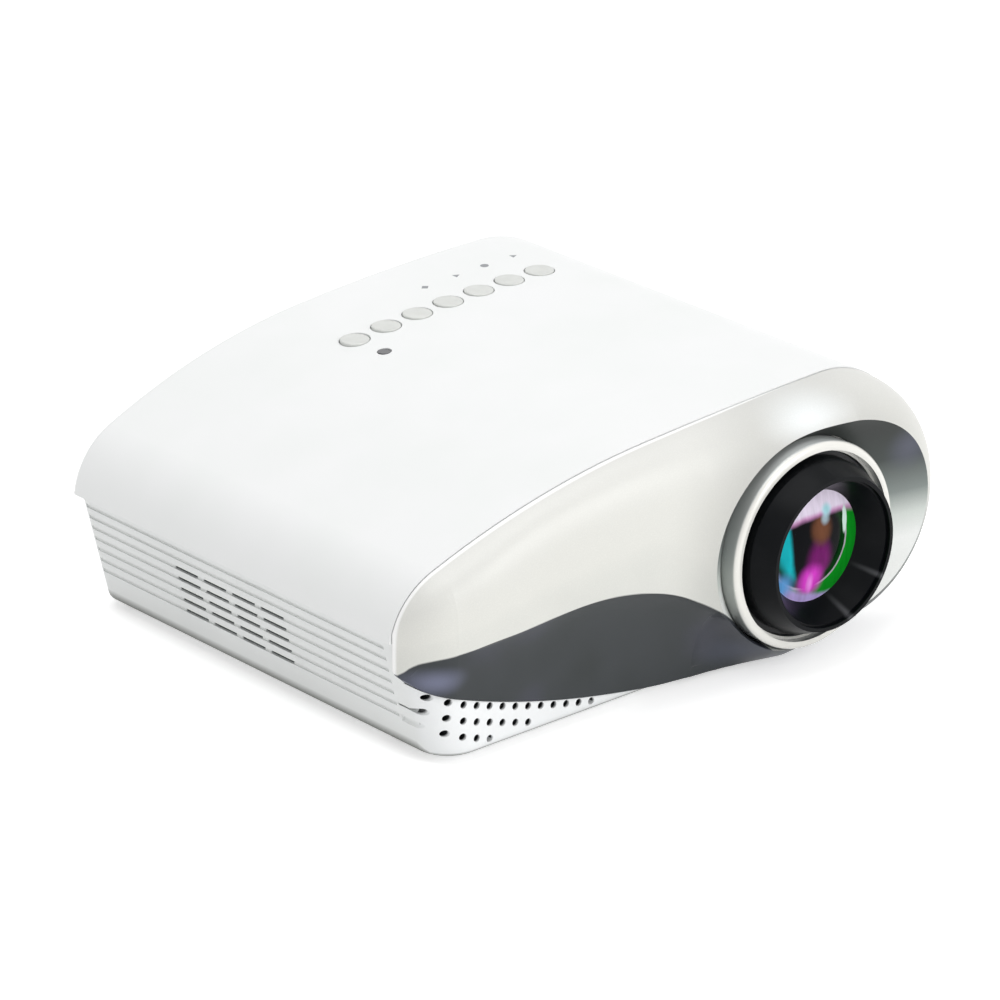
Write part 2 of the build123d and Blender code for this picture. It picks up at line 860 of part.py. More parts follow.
with BuildPart() as lens_cell:
    add(lens_sketch(
        (cell_front, cone_radius),
        (cell_front, cell_radius),
        (cell_back, cell_radius),
        (cell_back, glass_radius + running_gap),
        (glass_front, glass_radius + running_gap),
        (glass_front, aperture_radius),
    ))
    revolve(axis=lens_axis)
lens_cell.part.label = "lens_cell"
export_step(lens_cell.part, "parts/lens_cell.step")

glass_back = glass_front - glass_edge
with BuildPart() as front_lens:
    with BuildSketch(Plane.YZ.offset(lens_x)):
        with BuildLine():
            dome_rim = aperture_radius - 0.2
            RadiusArc((-glass_front, lens_z + dome_rim), (-glass_front - glass_dome, lens_z), -dome_curve(dome_rim))
            Line((-glass_front - glass_dome, lens_z), (-glass_back, lens_z))
            Polyline(
                (-glass_back, lens_z),
                (-glass_back, lens_z + glass_radius),
                (-glass_front, lens_z + glass_radius),
                (-glass_front, lens_z + dome_rim),
            )
        make_face()
    revolve(axis=lens_axis)
front_lens.part.label = "front_lens"
export_step(front_lens.part, "parts/front_lens.step")

spacer_back = glass_back - spacer_length
with BuildPart() as lens_spacer:
    add(lens_sketch(
        (glass_back, spacer_bore),
        (glass_back, glass_radius),
        (spacer_back, glass_radius),
        (spacer_back, spacer_bore),
    ))
    revolve(axis=lens_axis)
lens_spacer.part.label = "lens_spacer"
export_step(lens_spacer.part, "parts/lens_spacer.step")

rear_lens_back = spacer_back - rear_lens_thickness
with BuildPart() as rear_lens:
    add(lens_sketch(
        (spacer_back, 0.0),
        (spacer_back, glass_radius),
        (rear_lens_back, glass_radius),
        (rear_lens_back, 0.0),
    ))
    revolve(axis=lens_axis)
rear_lens.part.label = "rear_lens"
export_step(rear_lens.part, "parts/rear_lens.step")

with BuildPart() as lens_retainer:
    add(lens_sketch(
        (rear_lens_back, retainer_bore),
        (rear_lens_back, glass_radius),
        (rear_lens_back - retainer_length, glass_radius),
        (rear_lens_back - retainer_length, retainer_bore),
    ))
    revolve(axis=lens_axis)
lens_retainer.part.label = "lens_retainer"
export_step(lens_retainer.part, "parts/lens_retainer.step")

# Light engine: a black tray with slots for the flat plates, and its lid
engine_inside = engine_width - 2 * engine_wall
plate_width = engine_inside - 2 * plate_gap
tray_top = engine_mid_z + engine_height / 2 - lid_thickness
tray_floor = engine_mid_z - engine_height / 2 + engine_wall
with BuildPart() as engine_tray:
    with BuildSketch(front_plane(engine_front)):
        with Locations((lens_x, (tray_top + tray_floor - engine_wall) / 2)):
            Rectangle(engine_width, tray_top - tray_floor + engine_wall)
    extrude(amount=-(engine_front + engine_back))
    with BuildSketch(Plane.XY.offset(tray_floor)):
        with Locations((lens_x, (engine_back - engine_front + engine_wall) / 2)):
            Rectangle(engine_inside, engine_back + engine_front - engine_wall)
    extrude(amount=engine_height, mode=Mode.SUBTRACT)
    with BuildSketch(front_plane(engine_front - 2 * engine_wall)):
        with Locations((lens_x, lens_z)):
            Circle(barrel_radius - 1.5)
    extrude(amount=4 * engine_wall, mode=Mode.SUBTRACT)
    for plate_y, plate_thickness in engine_plates:
        for side in (-1, 1):
            for rib_y in (
                plate_y - plate_thickness / 2 - plate_gap - rib / 2,
                plate_y + plate_thickness / 2 + plate_gap + rib / 2,
            ):
                with BuildSketch(Plane.XY.offset(tray_floor)):
                    with Locations((lens_x + side * (engine_inside / 2 - rib / 2), rib_y)):
                        Rectangle(rib, rib)
                extrude(amount=tray_top - tray_floor - 1.0)
    with BuildSketch(front_plane(engine_front)):
        with Locations((lens_x, engine_mid_z)):
            with GridLocations(holder_screw_span, holder_screw_span, 2, 2):
                Circle(small_screw_radius + running_gap)
    extrude(amount=-engine_wall, mode=Mode.SUBTRACT)
    with BuildSketch(Plane.XY.offset(tray_floor)):
        with Locations(*engine_posts):
            Circle(small_screw_radius + running_gap)
    extrude(amount=-engine_wall, mode=Mode.SUBTRACT)
engine_tray.part.label = "engine_tray"
export_step(engine_tray.part, "parts/engine_tray.step")

with BuildPart() as engine_lid:
    with BuildSketch(Plane.XY.offset(tray_top)):
        with Locations((lens_x, (engine_back - engine_front) / 2)):
            Rectangle(engine_width, engine_back + engine_front)
    extrude(amount=lid_thickness)
engine_lid.part.label = "engine_lid"
export_step(engine_lid.part, "parts/engine_lid.step")

for plate_name, (plate_y, plate_thickness) in zip(plate_names, engine_plates):
    with BuildPart() as plate:
        with BuildSketch(front_plane(-plate_y - plate_thickness / 2)):
            with Locations((lens_x, (tray_floor + tray_top) / 2)):
                Rectangle(plate_width, tray_top - tray_floor - 2 * plate_gap)
            if plate_name == "condenser_holder":
                with Locations((lens_x, lens_z)):
                    Circle(condenser_radius + plate_gap, mode=Mode.SUBTRACT)
        extrude(amount=plate_thickness)
    plate.part.label = plate_name
    export_step(plate.part, f"parts/{plate_name}.step")

condenser_y = engine_plates[-1][0]
condenser_base = engine_plates[-1][1] / 2
with BuildPart() as condenser_lens:
    with BuildSketch(Plane.YZ.offset(lens_x)):
        with BuildLine():
            dome_tip = condenser_y - condenser_base - condenser_dome
            RadiusArc(
                (dome_tip, lens_z),
                (condenser_y - condenser_base, lens_z + condenser_radius),
                -(condenser_radius**2 + condenser_dome**2) / (2 * condenser_dome),
            )
            Polyline(
                (condenser_y - condenser_base, lens_z + condenser_radius),
                (condenser_y + condenser_base, lens_z + condenser_radius),
                (condenser_y + condenser_base, lens_z),
                (dome_tip, lens_z),
            )
        make_face()
    revolve(axis=lens_axis)
condenser_lens.part.label = "condenser_lens"
export_step(condenser_lens.part, "parts/condenser_lens.step")

with BuildPart() as led_board:
    with BuildSketch(front_plane(-engine_back)):
        with Locations((lens_x, lens_z)):
            Circle(led_board_radius)
    extrude(amount=board_thickness)
led_board.part.label = "led_board"
export_step(led_board.part, "parts/led_board.step")

with BuildPart() as led_chip:
    with BuildSketch(front_plane(-engine_back + board_thickness)):
        with Locations((lens_x, lens_z)):
            Rectangle(led_size, led_size)
    extrude(amount=led_height)
led_chip.part.label = "led_chip"
export_step(led_chip.part, "parts/led_chip.step")

with BuildPart() as heat_sink:
    with BuildSketch(front_plane(-engine_back - sink_base)):
        with Locations((lens_x, sink_mid_z)):
            Rectangle(engine_width, sink_height)
    extrude(amount=sink_base)
    with BuildSketch(front_plane(-engine_back - sink_depth)):
        with Locations((lens_x, sink_mid_z)):
            with GridLocations(fin_pitch, 1.0, fin_count, 1):
                Rectangle(fin_thickness, sink_height)
    extrude(amount=sink_depth - sink_base)
heat_sink.part.label = "heat_sink"
export_step(heat_sink.part, "parts/heat_sink.step")

# Fan beside the slots of the left side, its axis along X
with BuildPart() as fan_frame:
    with BuildSketch(Plane.YZ.offset(fan_x)):
        with Locations((fan_y, fan_z)):
            RectangleRounded(fan_size, fan_size, 3.0)
            Circle(fan_bore, mode=Mode.SUBTRACT)
            with GridLocations(fan_hole_span, fan_hole_span, 2, 2):
                Circle(1.7, mode=Mode.SUBTRACT)
    extrude(amount=fan_depth)
    with BuildSketch(Plane.YZ.offset(fan_x)):
        with Locations((fan_y, fan_z)):
            Circle(fan_hub)
            with PolarLocations(fan_bore / 2 + 1.0, 4, start_angle=45):
                Rectangle(fan_bore + 3.0, 2.0)
            Circle(fan_bore + 1.0, mode=Mode.INTERSECT)
    extrude(amount=fan_spoke)
    with BuildSketch(Plane.YZ.offset(fan_x)):
        with Locations((fan_y, fan_z)):
            Circle(fan_shaft_radius)
    extrude(amount=fan_depth - fan_cap - 2 * fan_end_gap)
fan_frame.part.label = "fan_frame"
export_step(fan_frame.part, "parts/fan_frame.step")

blade_span = fan_bore - fan_hub - 1.0
fan_rotor_x = fan_x + fan_spoke + fan_end_gap
fan_rotor_depth = fan_depth - fan_spoke - 2 * fan_end_gap
with BuildPart() as fan_rotor:
    with BuildSketch(Plane.YZ.offset(fan_rotor_x)):
        with Locations((fan_y, fan_z)):
            Circle(fan_hub)
            Circle(fan_shaft_radius + running_gap, mode=Mode.SUBTRACT)
    extrude(amount=fan_rotor_depth)
    with BuildSketch(Plane.YZ.offset(fan_rotor_x + fan_rotor_depth - fan_cap)):
        with Locations((fan_y, fan_z)):
            Circle(fan_hub)
    extrude(amount=fan_cap)
    for i in range(blade_count):
        blade_plane = Plane(
            origin=(fan_rotor_x + fan_rotor_depth / 2, fan_y, fan_z),
            x_dir=(1, 0, 0),
            z_dir=(0, cos(radians(i * 360 / blade_count)), sin(radians(i * 360 / blade_count))),
        )
        with BuildSketch(blade_plane.offset(fan_hub - 1.0)):
            Rectangle(blade_chord, blade_thickness, rotation=blade_pitch)
        extrude(amount=blade_span + 1.0)
fan_rotor.part.label = "fan_rotor"
export_step(fan_rotor.part, "parts/fan_rotor.step")

# Loudspeaker behind the sound holes
with BuildPart() as speaker_frame:
    with BuildSketch(front_plane(speaker_front - speaker_depth)):
        with Locations((speaker_x, speaker_z)):
            SlotOverall(speaker_width, speaker_height)
    extrude(amount=speaker_depth)
    with BuildSketch(front_plane(speaker_front - speaker_depth + 1.5)):
        with Locations((speaker_x, speaker_z)):
            SlotOverall(speaker_width - 4.0, speaker_height - 4.0)
    extrude(amount=speaker_depth, mode=Mode.SUBTRACT)
    with BuildSketch(front_plane(speaker_front - speaker_depth - magnet_depth)):
        with Locations((speaker_x, speaker_z)):
            Circle(magnet_radius)
    extrude(amount=magnet_depth)
speaker_frame.part.label = "speaker_frame"
export_step(speaker_frame.part, "parts/speaker_frame.step")

with BuildPart() as speaker_cone:
    with BuildSketch(front_plane(speaker_front - speaker_depth + 1.8)):
        with Locations((speaker_x, speaker_z)):
            SlotOverall(speaker_width - 16.0, speaker_height - 12.0)
    with BuildSketch(front_plane(speaker_front - 1.0)):
        with Locations((speaker_x, speaker_z)):
            SlotOverall(speaker_width - 4.6, speaker_height - 4.6)
    loft()
speaker_cone.part.label = "speaker_cone"
export_step(speaker_cone.part, "parts/speaker_cone.step")

# Main board with its sockets along the rear wall
with BuildPart() as main_board:
    with BuildSketch(Plane.XY.offset(main_board_z)):
        with BuildLine():
            Polyline(*main_board_outline, close=True)
        make_face()
        with Locations(*main_board_posts):
            Circle(small_screw_radius + running_gap, mode=Mode.SUBTRACT)
    extrude(amount=board_thickness)
main_board.part.label = "main_board"
export_step(main_board.part, "parts/main_board.step")

deck = main_board_z + board_thickness
socket_face = rear_y - port_recess


def socket_block(x, width, depth, height):
    """Plain body of a socket standing on the main board, flush with the rear openings."""
    with BuildPart() as body:
        with BuildSketch(Plane.XY.offset(deck)):
            with Locations((x, socket_face - depth / 2)):
                Rectangle(width, depth)
        extrude(amount=height)
    return body.part


def tongue_socket(x, width, depth, height, skin, tongue, lift):
    """Pressed steel shell with a contact tongue inside."""
    with BuildPart() as body:
        add(socket_block(x, width, depth, height))
        with BuildSketch(front_plane(-socket_face)):
            with Locations((x, deck + height / 2)):
                Rectangle(width - 2 * skin, height - 2 * skin)
        extrude(amount=depth - 1.5, mode=Mode.SUBTRACT)
        with BuildSketch(front_plane(-socket_face + 1.0)):
            with Locations((x, deck + height / 2 + lift)):
                Rectangle(width - 2 * skin - 2.0, tongue)
        extrude(amount=depth - 2.0)
    return body.part


usb_socket = tongue_socket(usb_x, usb_width, usb_depth, usb_height, 0.5, 1.8, 1.2)
usb_socket.label = "usb_socket"
export_step(usb_socket, "parts/usb_socket.step")

hdmi_socket = tongue_socket(hdmi_x, hdmi_width, hdmi_depth, hdmi_height, 0.5, 1.2, 0.0)
hdmi_socket.label = "hdmi_socket"
export_step(hdmi_socket, "parts/hdmi_socket.step")

with BuildPart() as vga_socket:
    add(socket_block(vga_x, vga_width, vga_depth, vga_height))
    with BuildSketch(front_plane(-socket_face)):
        with Locations((vga_x, deck + vga_height / 2)):
            Trapezoid(17.0, 8.4, 80.0)
            Trapezoid(16.0, 7.4, 80.0, mode=Mode.SUBTRACT)
    extrude(amount=5.0, mode=Mode.SUBTRACT)
vga_socket.part.label = "vga_socket"
export_step(vga_socket.part, "parts/vga_socket.step")

jack_z = deck + jack_height / 2
for jack_name, jack_x in zip(jack_names, jack_xs):
    with BuildPart() as jack:
        with BuildSketch(Plane.XY.offset(deck)):
            with Locations((jack_x, rear_y - wall - port_gap - jack_depth / 2)):
                Rectangle(jack_height, jack_depth)
        extrude(amount=jack_height)
        with BuildSketch(front_plane(-socket_face)):
            with Locations((jack_x, jack_z)):
                Circle(jack_nose_radius)
        extrude(amount=wall + port_gap)
        with BuildSketch(front_plane(-socket_face)):
            with Locations((jack_x, jack_z)):
                Circle(jack_bore)
        extrude(amount=jack_bore_depth, mode=Mode.SUBTRACT)
    jack.part.label = jack_name
    export_step(jack.part, f"parts/{jack_name}.step")

with BuildPart() as dc_jack:
    add(socket_block(dc_x, dc_width, dc_depth, dc_height))
    with BuildSketch(front_plane(-socket_face)):
        with Locations((dc_x, deck + dc_height / 2)):
            Circle(dc_bore)
            Circle(dc_pin, mode=Mode.SUBTRACT)
    extrude(amount=dc_bore_depth, mode=Mode.SUBTRACT)
dc_jack.part.label = "dc_jack"
export_step(dc_jack.part, "parts/dc_jack.step")

with BuildPart() as processor:
    with BuildSketch(Plane.XY.offset(deck)):
        with Locations(processor_place):
            Rectangle(processor_size, processor_size)
    extrude(amount=processor_height)
processor.part.label = "processor"
export_step(processor.part, "parts/processor.step")

with BuildPart() as processor_cooler:
    with BuildSketch(Plane.XY.offset(deck + processor_height)):
        with Locations(processor_place):
            Rectangle(processor_size, processor_size)
    extrude(amount=1.5)
    with BuildSketch(Plane.XY.offset(deck + processor_height + 1.5)):
        with Locations(processor_place):
            with GridLocations(4.0, 1.0, 5, 1):
                Rectangle(1.0, processor_size)
    extrude(amount=5.0)
processor_cooler.part.label = "processor_cooler"
export_step(processor_cooler.part, "parts/processor_cooler.step")

with BuildPart() as capacitors:
    with BuildSketch(Plane.XY.offset(deck)):
        with Locations(*capacitor_places):
            Circle(capacitor_radius)
    extrude(amount=capacitor_height)
capacitors.part.label = "capacitors"
export_step(capacitors.part, "parts/capacitors.step")

# Button board, switches, infrared parts and the seven buttons
with BuildPart() as button_board:
    with BuildSketch(Plane.XY.offset(board_top - board_thickness)):
        with BuildLine():
            Polyline(*button_board_outline, close=True)
        make_face()
        with Locations(*board_posts):
            Circle(small_screw_radius + running_gap, mode=Mode.SUBTRACT)
    extrude(amount=board_thickness)
button_board.part.label = "button_board"
export_step(button_board.part, "parts/button_board.step")

with BuildPart() as tact_switches:
    with BuildSketch(Plane.XY.offset(board_top)):
        with Locations(*button_places):
            Rectangle(switch_size, switch_size)
    extrude(amount=switch_height)
    with BuildSketch(Plane.XY.offset(board_top + switch_height)):
        with Locations(*button_places):
            Circle(plunger_radius)
    extrude(amount=plunger_height)
tact_switches.part.label = "tact_switches"
export_step(tact_switches.part, "parts/tact_switches.step")

with BuildPart() as ir_receiver:
    with BuildSketch(Plane.XY.offset(board_top)):
        with Locations(window_place):
            Rectangle(switch_size, switch_size)
    extrude(amount=switch_height)
ir_receiver.part.label = "ir_receiver"
export_step(ir_receiver.part, "parts/ir_receiver.step")

window_top = top_at(window_place[0])
with BuildPart() as ir_window:
    with BuildSketch(Plane.XY.offset(window_top - wall - 1.2)):
        with Locations(window_place):
            Circle(window_radius)
    extrude(amount=wall + 1.2)
ir_window.part.label = "ir_window"
export_step(ir_window.part, "parts/ir_window.step")

stem_end = board_top + switch_height + plunger_height + button_travel + 0.1
for button_name, (x, y) in zip(button_names, button_places):
    cap_top = top_at(x) + button_proud
    flange_top = top_at(x + button_flange) - wall - 0.2 if x < 0 else top_at(x - button_flange) - wall - 0.2
    flange_top = min(flange_top, top_at(x - button_flange) - wall - 0.2, top_at(x + button_flange) - wall - 0.2)
    with BuildPart() as button:
        with BuildSketch(Plane.XY.offset(flange_top - button_flange_height)):
            with Locations((x, y)):
                Circle(button_radius)
        extrude(amount=cap_top - flange_top + button_flange_height)
        fillet(button.edges().sort_by(Axis.Z)[-1], radius=0.4)
        with BuildSketch(Plane.XY.offset(flange_top - button_flange_height)):
            with Locations((x, y)):
                Circle(button_flange)
        extrude(amount=button_flange_height)
        with BuildSketch(Plane.XY.offset(stem_end)):
            with Locations((x, y)):
                Circle(plunger_radius)
        extrude(amount=flange_top - button_flange_height - stem_end)
    button.part.label = button_name
    export_step(button.part, f"parts/{button_name}.step")

# Feet, tripod insert and screws
with BuildPart() as rear_feet:
    with BuildSketch(Plane.XY):
        with Locations(*rear_foot_places):
            Circle(rear_foot_radius)
    extrude(amount=bottom_z + rear_foot_recess - fit_gap)
rear_feet.part.label = "rear_feet"
export_step(rear_feet.part, "parts/rear_feet.step")

knob_top = foot_pad_height + foot_knob_height
with BuildPart() as foot_nut:
    with BuildSketch(Plane.XY.offset(bottom_z + foot_recess)):
        with Locations(foot_place):
            Circle(foot_nut_radius)
            Circle(foot_stud_radius + running_gap, mode=Mode.SUBTRACT)
    extrude(amount=foot_nut_height)
foot_nut.part.label = "foot_nut"
export_step(foot_nut.part, "parts/foot_nut.step")

with BuildPart() as foot_stud:
    with BuildSketch(Plane.XY.offset(foot_pad_height + 0.3)):
        with Locations(foot_place):
            Circle(foot_stud_radius)
    extrude(amount=foot_stud_top - foot_pad_height - 0.3)
foot_stud.part.label = "foot_stud"
export_step(foot_stud.part, "parts/foot_stud.step")

with BuildPart() as foot_knob:
    with BuildSketch(Plane.XY.offset(foot_pad_height)):
        with Locations(foot_place):
            Circle(foot_knob_radius)
            with PolarLocations(foot_knob_radius, 16):
                Circle(foot_grip_radius, mode=Mode.SUBTRACT)
    extrude(amount=foot_knob_height)
    with BuildSketch(Plane.XY.offset(foot_pad_height)):
        with Locations(foot_place):
            Circle(foot_stud_radius + running_gap)
    extrude(amount=foot_knob_height, mode=Mode.SUBTRACT)
foot_knob.part.label = "foot_knob"
export_step(foot_knob.part, "parts/foot_knob.step")

with BuildPart() as foot_pad:
    with BuildSketch(Plane.XY):
        with Locations(foot_place):
            Circle(foot_knob_radius - 1.5)
    extrude(amount=foot_pad_height)
foot_pad.part.label = "foot_pad"
export_step(foot_pad.part, "parts/foot_pad.step")

with BuildPart() as tripod_insert:
    with BuildSketch(Plane.XY.offset(bottom_z)):
        with Locations(tripod_place):
            Circle(tripod_insert_radius)
    extrude(amount=tripod_top - bottom_z)
    with BuildSketch(Plane.XY.offset(bottom_z)):
        with Locations(tripod_place):
            Circle(tripod_thread_radius)
    extrude(amount=tripod_thread_depth, mode=Mode.SUBTRACT)
tripod_insert.part.label = "tripod_insert"
export_step(tripod_insert.part, "parts/tripod_insert.step")

with BuildPart() as case_screws:
    with BuildSketch(Plane.XY.offset(case_screw_seat - 2.0)):
        with Locations(*case_screw_places):
            Circle(case_screw_head)
    extrude(amount=2.0)
    with BuildSketch(Plane.XY.offset(case_screw_seat)):
        with Locations(*case_screw_places):
            Circle(case_screw_radius)
    extrude(amount=case_screw_top - case_screw_seat)
case_screws.part.label = "case_screws"
export_step(case_screws.part, "parts/case_screws.step")

with BuildPart() as main_board_screws:
    with BuildSketch(Plane.XY.offset(deck)):
        with Locations(*main_board_posts):
            Circle(small_head_radius)
    extrude(amount=small_head_height)
    with BuildSketch(Plane.XY.offset(deck)):
        with Locations(*main_board_posts):
            Circle(small_screw_radius)
    extrude(amount=-board_thickness - 3.0)
main_board_screws.part.label = "main_board_screws"
export_step(main_board_screws.part, "parts/main_board_screws.step")

with BuildPart() as button_board_screws:
    with BuildSketch(Plane.XY.offset(board_top - board_thickness - small_head_height)):
        with Locations(*board_posts):
            Circle(small_head_radius)
    extrude(amount=small_head_height)
    with BuildSketch(Plane.XY.offset(board_top - board_thickness)):
        with Locations(*board_posts):
            Circle(small_screw_radius)
    extrude(amount=board_thickness + 3.0)
button_board_screws.part.label = "button_board_screws"
export_step(button_board_screws.part, "parts/button_board_screws.step")

with BuildPart() as holder_screws:
    with BuildSketch(front_plane(engine_front + holder_flange)):
        with Locations((lens_x, engine_mid_z)):
            with GridLocations(holder_screw_span, holder_screw_span, 2, 2):
                Circle(small_head_radius)
    extrude(amount=small_head_height)
    with BuildSketch(front_plane(engine_front + holder_flange)):
        with Locations((lens_x, engine_mid_z)):
            with GridLocations(holder_screw_span, holder_screw_span, 2, 2):
                Circle(small_screw_radius)
    extrude(amount=-holder_flange - engine_wall + 0.2)
holder_screws.part.label = "holder_screws"
export_step(holder_screws.part, "parts/holder_screws.step")

with BuildPart() as engine_screws:
    with BuildSketch(Plane.XY.offset(tray_floor)):
        with Locations(*engine_posts):
            Circle(small_head_radius)
    extrude(amount=small_head_height)
    with BuildSketch(Plane.XY.offset(tray_floor)):
        with Locations(*engine_posts):
            Circle(small_screw_radius)
    extrude(amount=-engine_wall - 1.5)
engine_screws.part.label = "engine_screws"
export_step(engine_screws.part, "parts/engine_screws.step")
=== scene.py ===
"""Small LED projector on a white table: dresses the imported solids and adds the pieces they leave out."""

from __future__ import annotations

import logging
import math
from dataclasses import dataclass
from enum import Enum
from functools import cached_property
from typing import Any

import bmesh
import bpy
from mathutils import Matrix, Vector

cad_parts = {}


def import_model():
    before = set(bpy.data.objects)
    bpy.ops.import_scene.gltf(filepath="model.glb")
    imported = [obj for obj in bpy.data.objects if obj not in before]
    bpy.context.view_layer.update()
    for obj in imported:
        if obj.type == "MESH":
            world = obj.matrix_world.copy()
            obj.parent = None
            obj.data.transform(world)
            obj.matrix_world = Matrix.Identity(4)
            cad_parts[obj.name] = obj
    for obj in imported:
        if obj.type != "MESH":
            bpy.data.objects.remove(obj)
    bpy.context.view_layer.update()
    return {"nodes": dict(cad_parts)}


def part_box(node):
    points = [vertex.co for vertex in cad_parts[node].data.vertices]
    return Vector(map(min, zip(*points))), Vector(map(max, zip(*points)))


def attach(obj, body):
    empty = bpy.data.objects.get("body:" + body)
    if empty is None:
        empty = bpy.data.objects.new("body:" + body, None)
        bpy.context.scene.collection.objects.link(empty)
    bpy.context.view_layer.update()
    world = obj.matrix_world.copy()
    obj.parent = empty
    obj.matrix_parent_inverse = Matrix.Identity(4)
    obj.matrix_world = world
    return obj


LOG = logging.getLogger("projector")
MM = 0.001
# Turn from which the edges of a smooth piece stay sharp
SHARP_EDGE = math.radians(35)
Triple = tuple[float, float, float]
# Middle and reach of a soft patch
Patch = tuple[Triple, Triple]
# Places on a colour ramp with their colours
Stops = tuple[tuple[float, str], ...]
# What may feed an input of a node
Feed = bpy.types.Node | bpy.types.NodeSocket
# Values with their lowest and highest place in millimetres, or None where there is no end
Limits = tuple[tuple[Feed, float | None, float | None], ...]


def per(size_mm: float) -> float:
    """Say how many times a size in millimetres goes into a metre, which is a texture's scale."""
    return 1 / (size_mm * MM)


def linear(code: str) -> tuple[float, float, float, float]:
    """Turn an sRGB hex colour into linear values.

    Args:
        code: colour such as "#F2F4F3".

    Returns:
        Red, green, blue and an alpha of 1.
    """
    channels = [int(code[i : i + 2], 16) / 255 for i in (1, 3, 5)]
    values = [c / 12.92 if c <= 0.04045 else ((c + 0.055) / 1.055) ** 2.4 for c in channels]
    return values[0], values[1], values[2], 1.0


@dataclass
class Canvas:
    """Node tree of a material or of the world, emptied and then filled node by node.

    Attributes:
        tree: the tree.
    """

    tree: bpy.types.NodeTree

    def __post_init__(self) -> None:
        """Empty the tree."""
        self.tree.nodes.clear()

    def add(
        self, kind: str, inputs: dict[Any, Any] | None = None, stops: Stops | None = None, **settings: Any
    ) -> bpy.types.Node:
        """Add one node with its settings, values and links.

        Args:
            kind: node type name without its "ShaderNode" start.
            inputs: input name or index to a value, a hex colour, or the socket or node that feeds it. A node
                feeds it from its first open output.
            stops: places and hex colours of a colour ramp.
            settings: attributes of the node.

        Returns:
            The new node.
        """
        node = self.tree.nodes.new("ShaderNode" + kind)
        for key, value in settings.items():
            setattr(node, key, value)
        for key, value in (inputs or {}).items():
            if isinstance(value, bpy.types.Node):
                value = next(socket for socket in value.outputs if socket.enabled)
            if isinstance(value, bpy.types.NodeSocket):
                self.tree.links.new(value, node.inputs[key])
            else:
                node.inputs[key].default_value = linear(value) if isinstance(value, str) else value
        if stops:
            elements = node.color_ramp.elements
            while len(elements) < len(stops):
                elements.new(0.5)
            for element, (place, code) in zip(elements, sorted(stops)):
                element.position = place
                element.color = linear(code)
        return node

    def overlay(self, colour: Feed | str, layers: tuple[tuple[Feed, Feed | str], ...]) -> Feed:
        """Lay colours over one another.

        Args:
            colour: the lowest colour.
            layers: share and colour of each layer, from the lowest up.

        Returns:
            The node of the uppermost layer.
        """
        for share, other in layers:
            colour = self.add("Mix", {"Factor": share, 6: colour, 7: other}, data_type="RGBA")
        return colour

    def patch(
        self, place: Feed, middle: Triple, squeeze: Triple, none: float = 1.0, full: float = 0.0
    ) -> Feed:
        """Work out a soft round patch.

        Args:
            place: coordinates that it lies in.
            middle: its middle.
            squeeze: factors that its distances along X, Y and Z are multiplied by.
            none: distance from the middle at which it has faded out.
            full: distance at which it is full.

        Returns:
            A node that is 1 in the patch and 0 away from it.
        """
        away = self.add("VectorMath", {0: place, 1: middle}, operation="SUBTRACT")
        drawn = self.add("VectorMath", {0: away, 1: squeeze}, operation="MULTIPLY")
        far = self.add("VectorMath", {0: drawn}, operation="LENGTH")
        return self.soft_step(far, none, full)

    def soft_step(self, value: Feed, none: float, full: float) -> Feed:
        """Pass softly from 0, where the value is none, to 1, where it is full."""
        ends = {"Value": value, "From Min": none, "From Max": full}
        return self.add("MapRange", ends, interpolation_type="SMOOTHSTEP")

    def limited(self, share: Feed | float, limits: Limits) -> Feed:
        """Cut a share down to 0 outside some limits.

        Args:
            share: the share.
            limits: values that have to stay within their ends.

        Returns:
            The node of what is left.
        """
        for value, low, high in limits:
            for bound, test in ((low, "GREATER_THAN"), (high, "LESS_THAN")):
                if bound is not None:
                    inside = self.add("Math", {0: value, 1: bound * MM}, operation=test)
                    share = self.add("Math", {0: share, 1: inside}, operation="MULTIPLY")
        return share

    def seen(self) -> Feed:
        """Give 1 for rays that show the camera a thing straight, mirrored or through glass."""
        path = self.add("LightPath").outputs
        straight = self.add(
            "Math", {0: path["Is Camera Ray"], 1: path["Is Transmission Ray"]}, operation="MAXIMUM"
        )
        return self.add("Math", {0: straight, 1: path["Is Glossy Ray"]}, operation="MAXIMUM")


class Skin(Canvas):
    """Canvas of a surface, with its coordinates in the part's frame, which are added on first use."""

    @cached_property
    def coordinates(self) -> bpy.types.Node:
        """Node that gives the coordinates."""
        return self.add("TexCoord")

    @cached_property
    def parts(self) -> bpy.types.Node:
        """Node that splits a point's place into X, Y and Z."""
        return self.add("SeparateXYZ", {"Vector": self.place})

    @property
    def place(self) -> Feed:
        """Where each point lies."""
        return self.coordinates.outputs["Object"]

    @property
    def facing(self) -> Feed:
        """Where each point looks."""
        return self.coordinates.outputs["Normal"]

    @property
    def x(self) -> Feed:
        """X of each point."""
        return self.parts.outputs["X"]

    @property
    def y(self) -> Feed:
        """Y of each point."""
        return self.parts.outputs["Y"]

    @property
    def z(self) -> Feed:
        """Z of each point."""
        return self.parts.outputs["Z"]


@dataclass(frozen=True)
class Finish:
    """A surface finish, made once as a material under its own name."""

    name: str

    def material(self) -> bpy.types.Material:
        """Return the material, made on first use."""
        found = bpy.data.materials.get(self.name)
        if found:
            return found
        made = bpy.data.materials.new(self.name)
        made.use_nodes = True
        skin = Skin(made.node_tree)
        skin.add("OutputMaterial", {"Surface": self.shade(skin)})
        return made

    def shade(self, skin: Skin) -> bpy.types.Node:
        """Build the shader and return its last node."""
        raise NotImplementedError


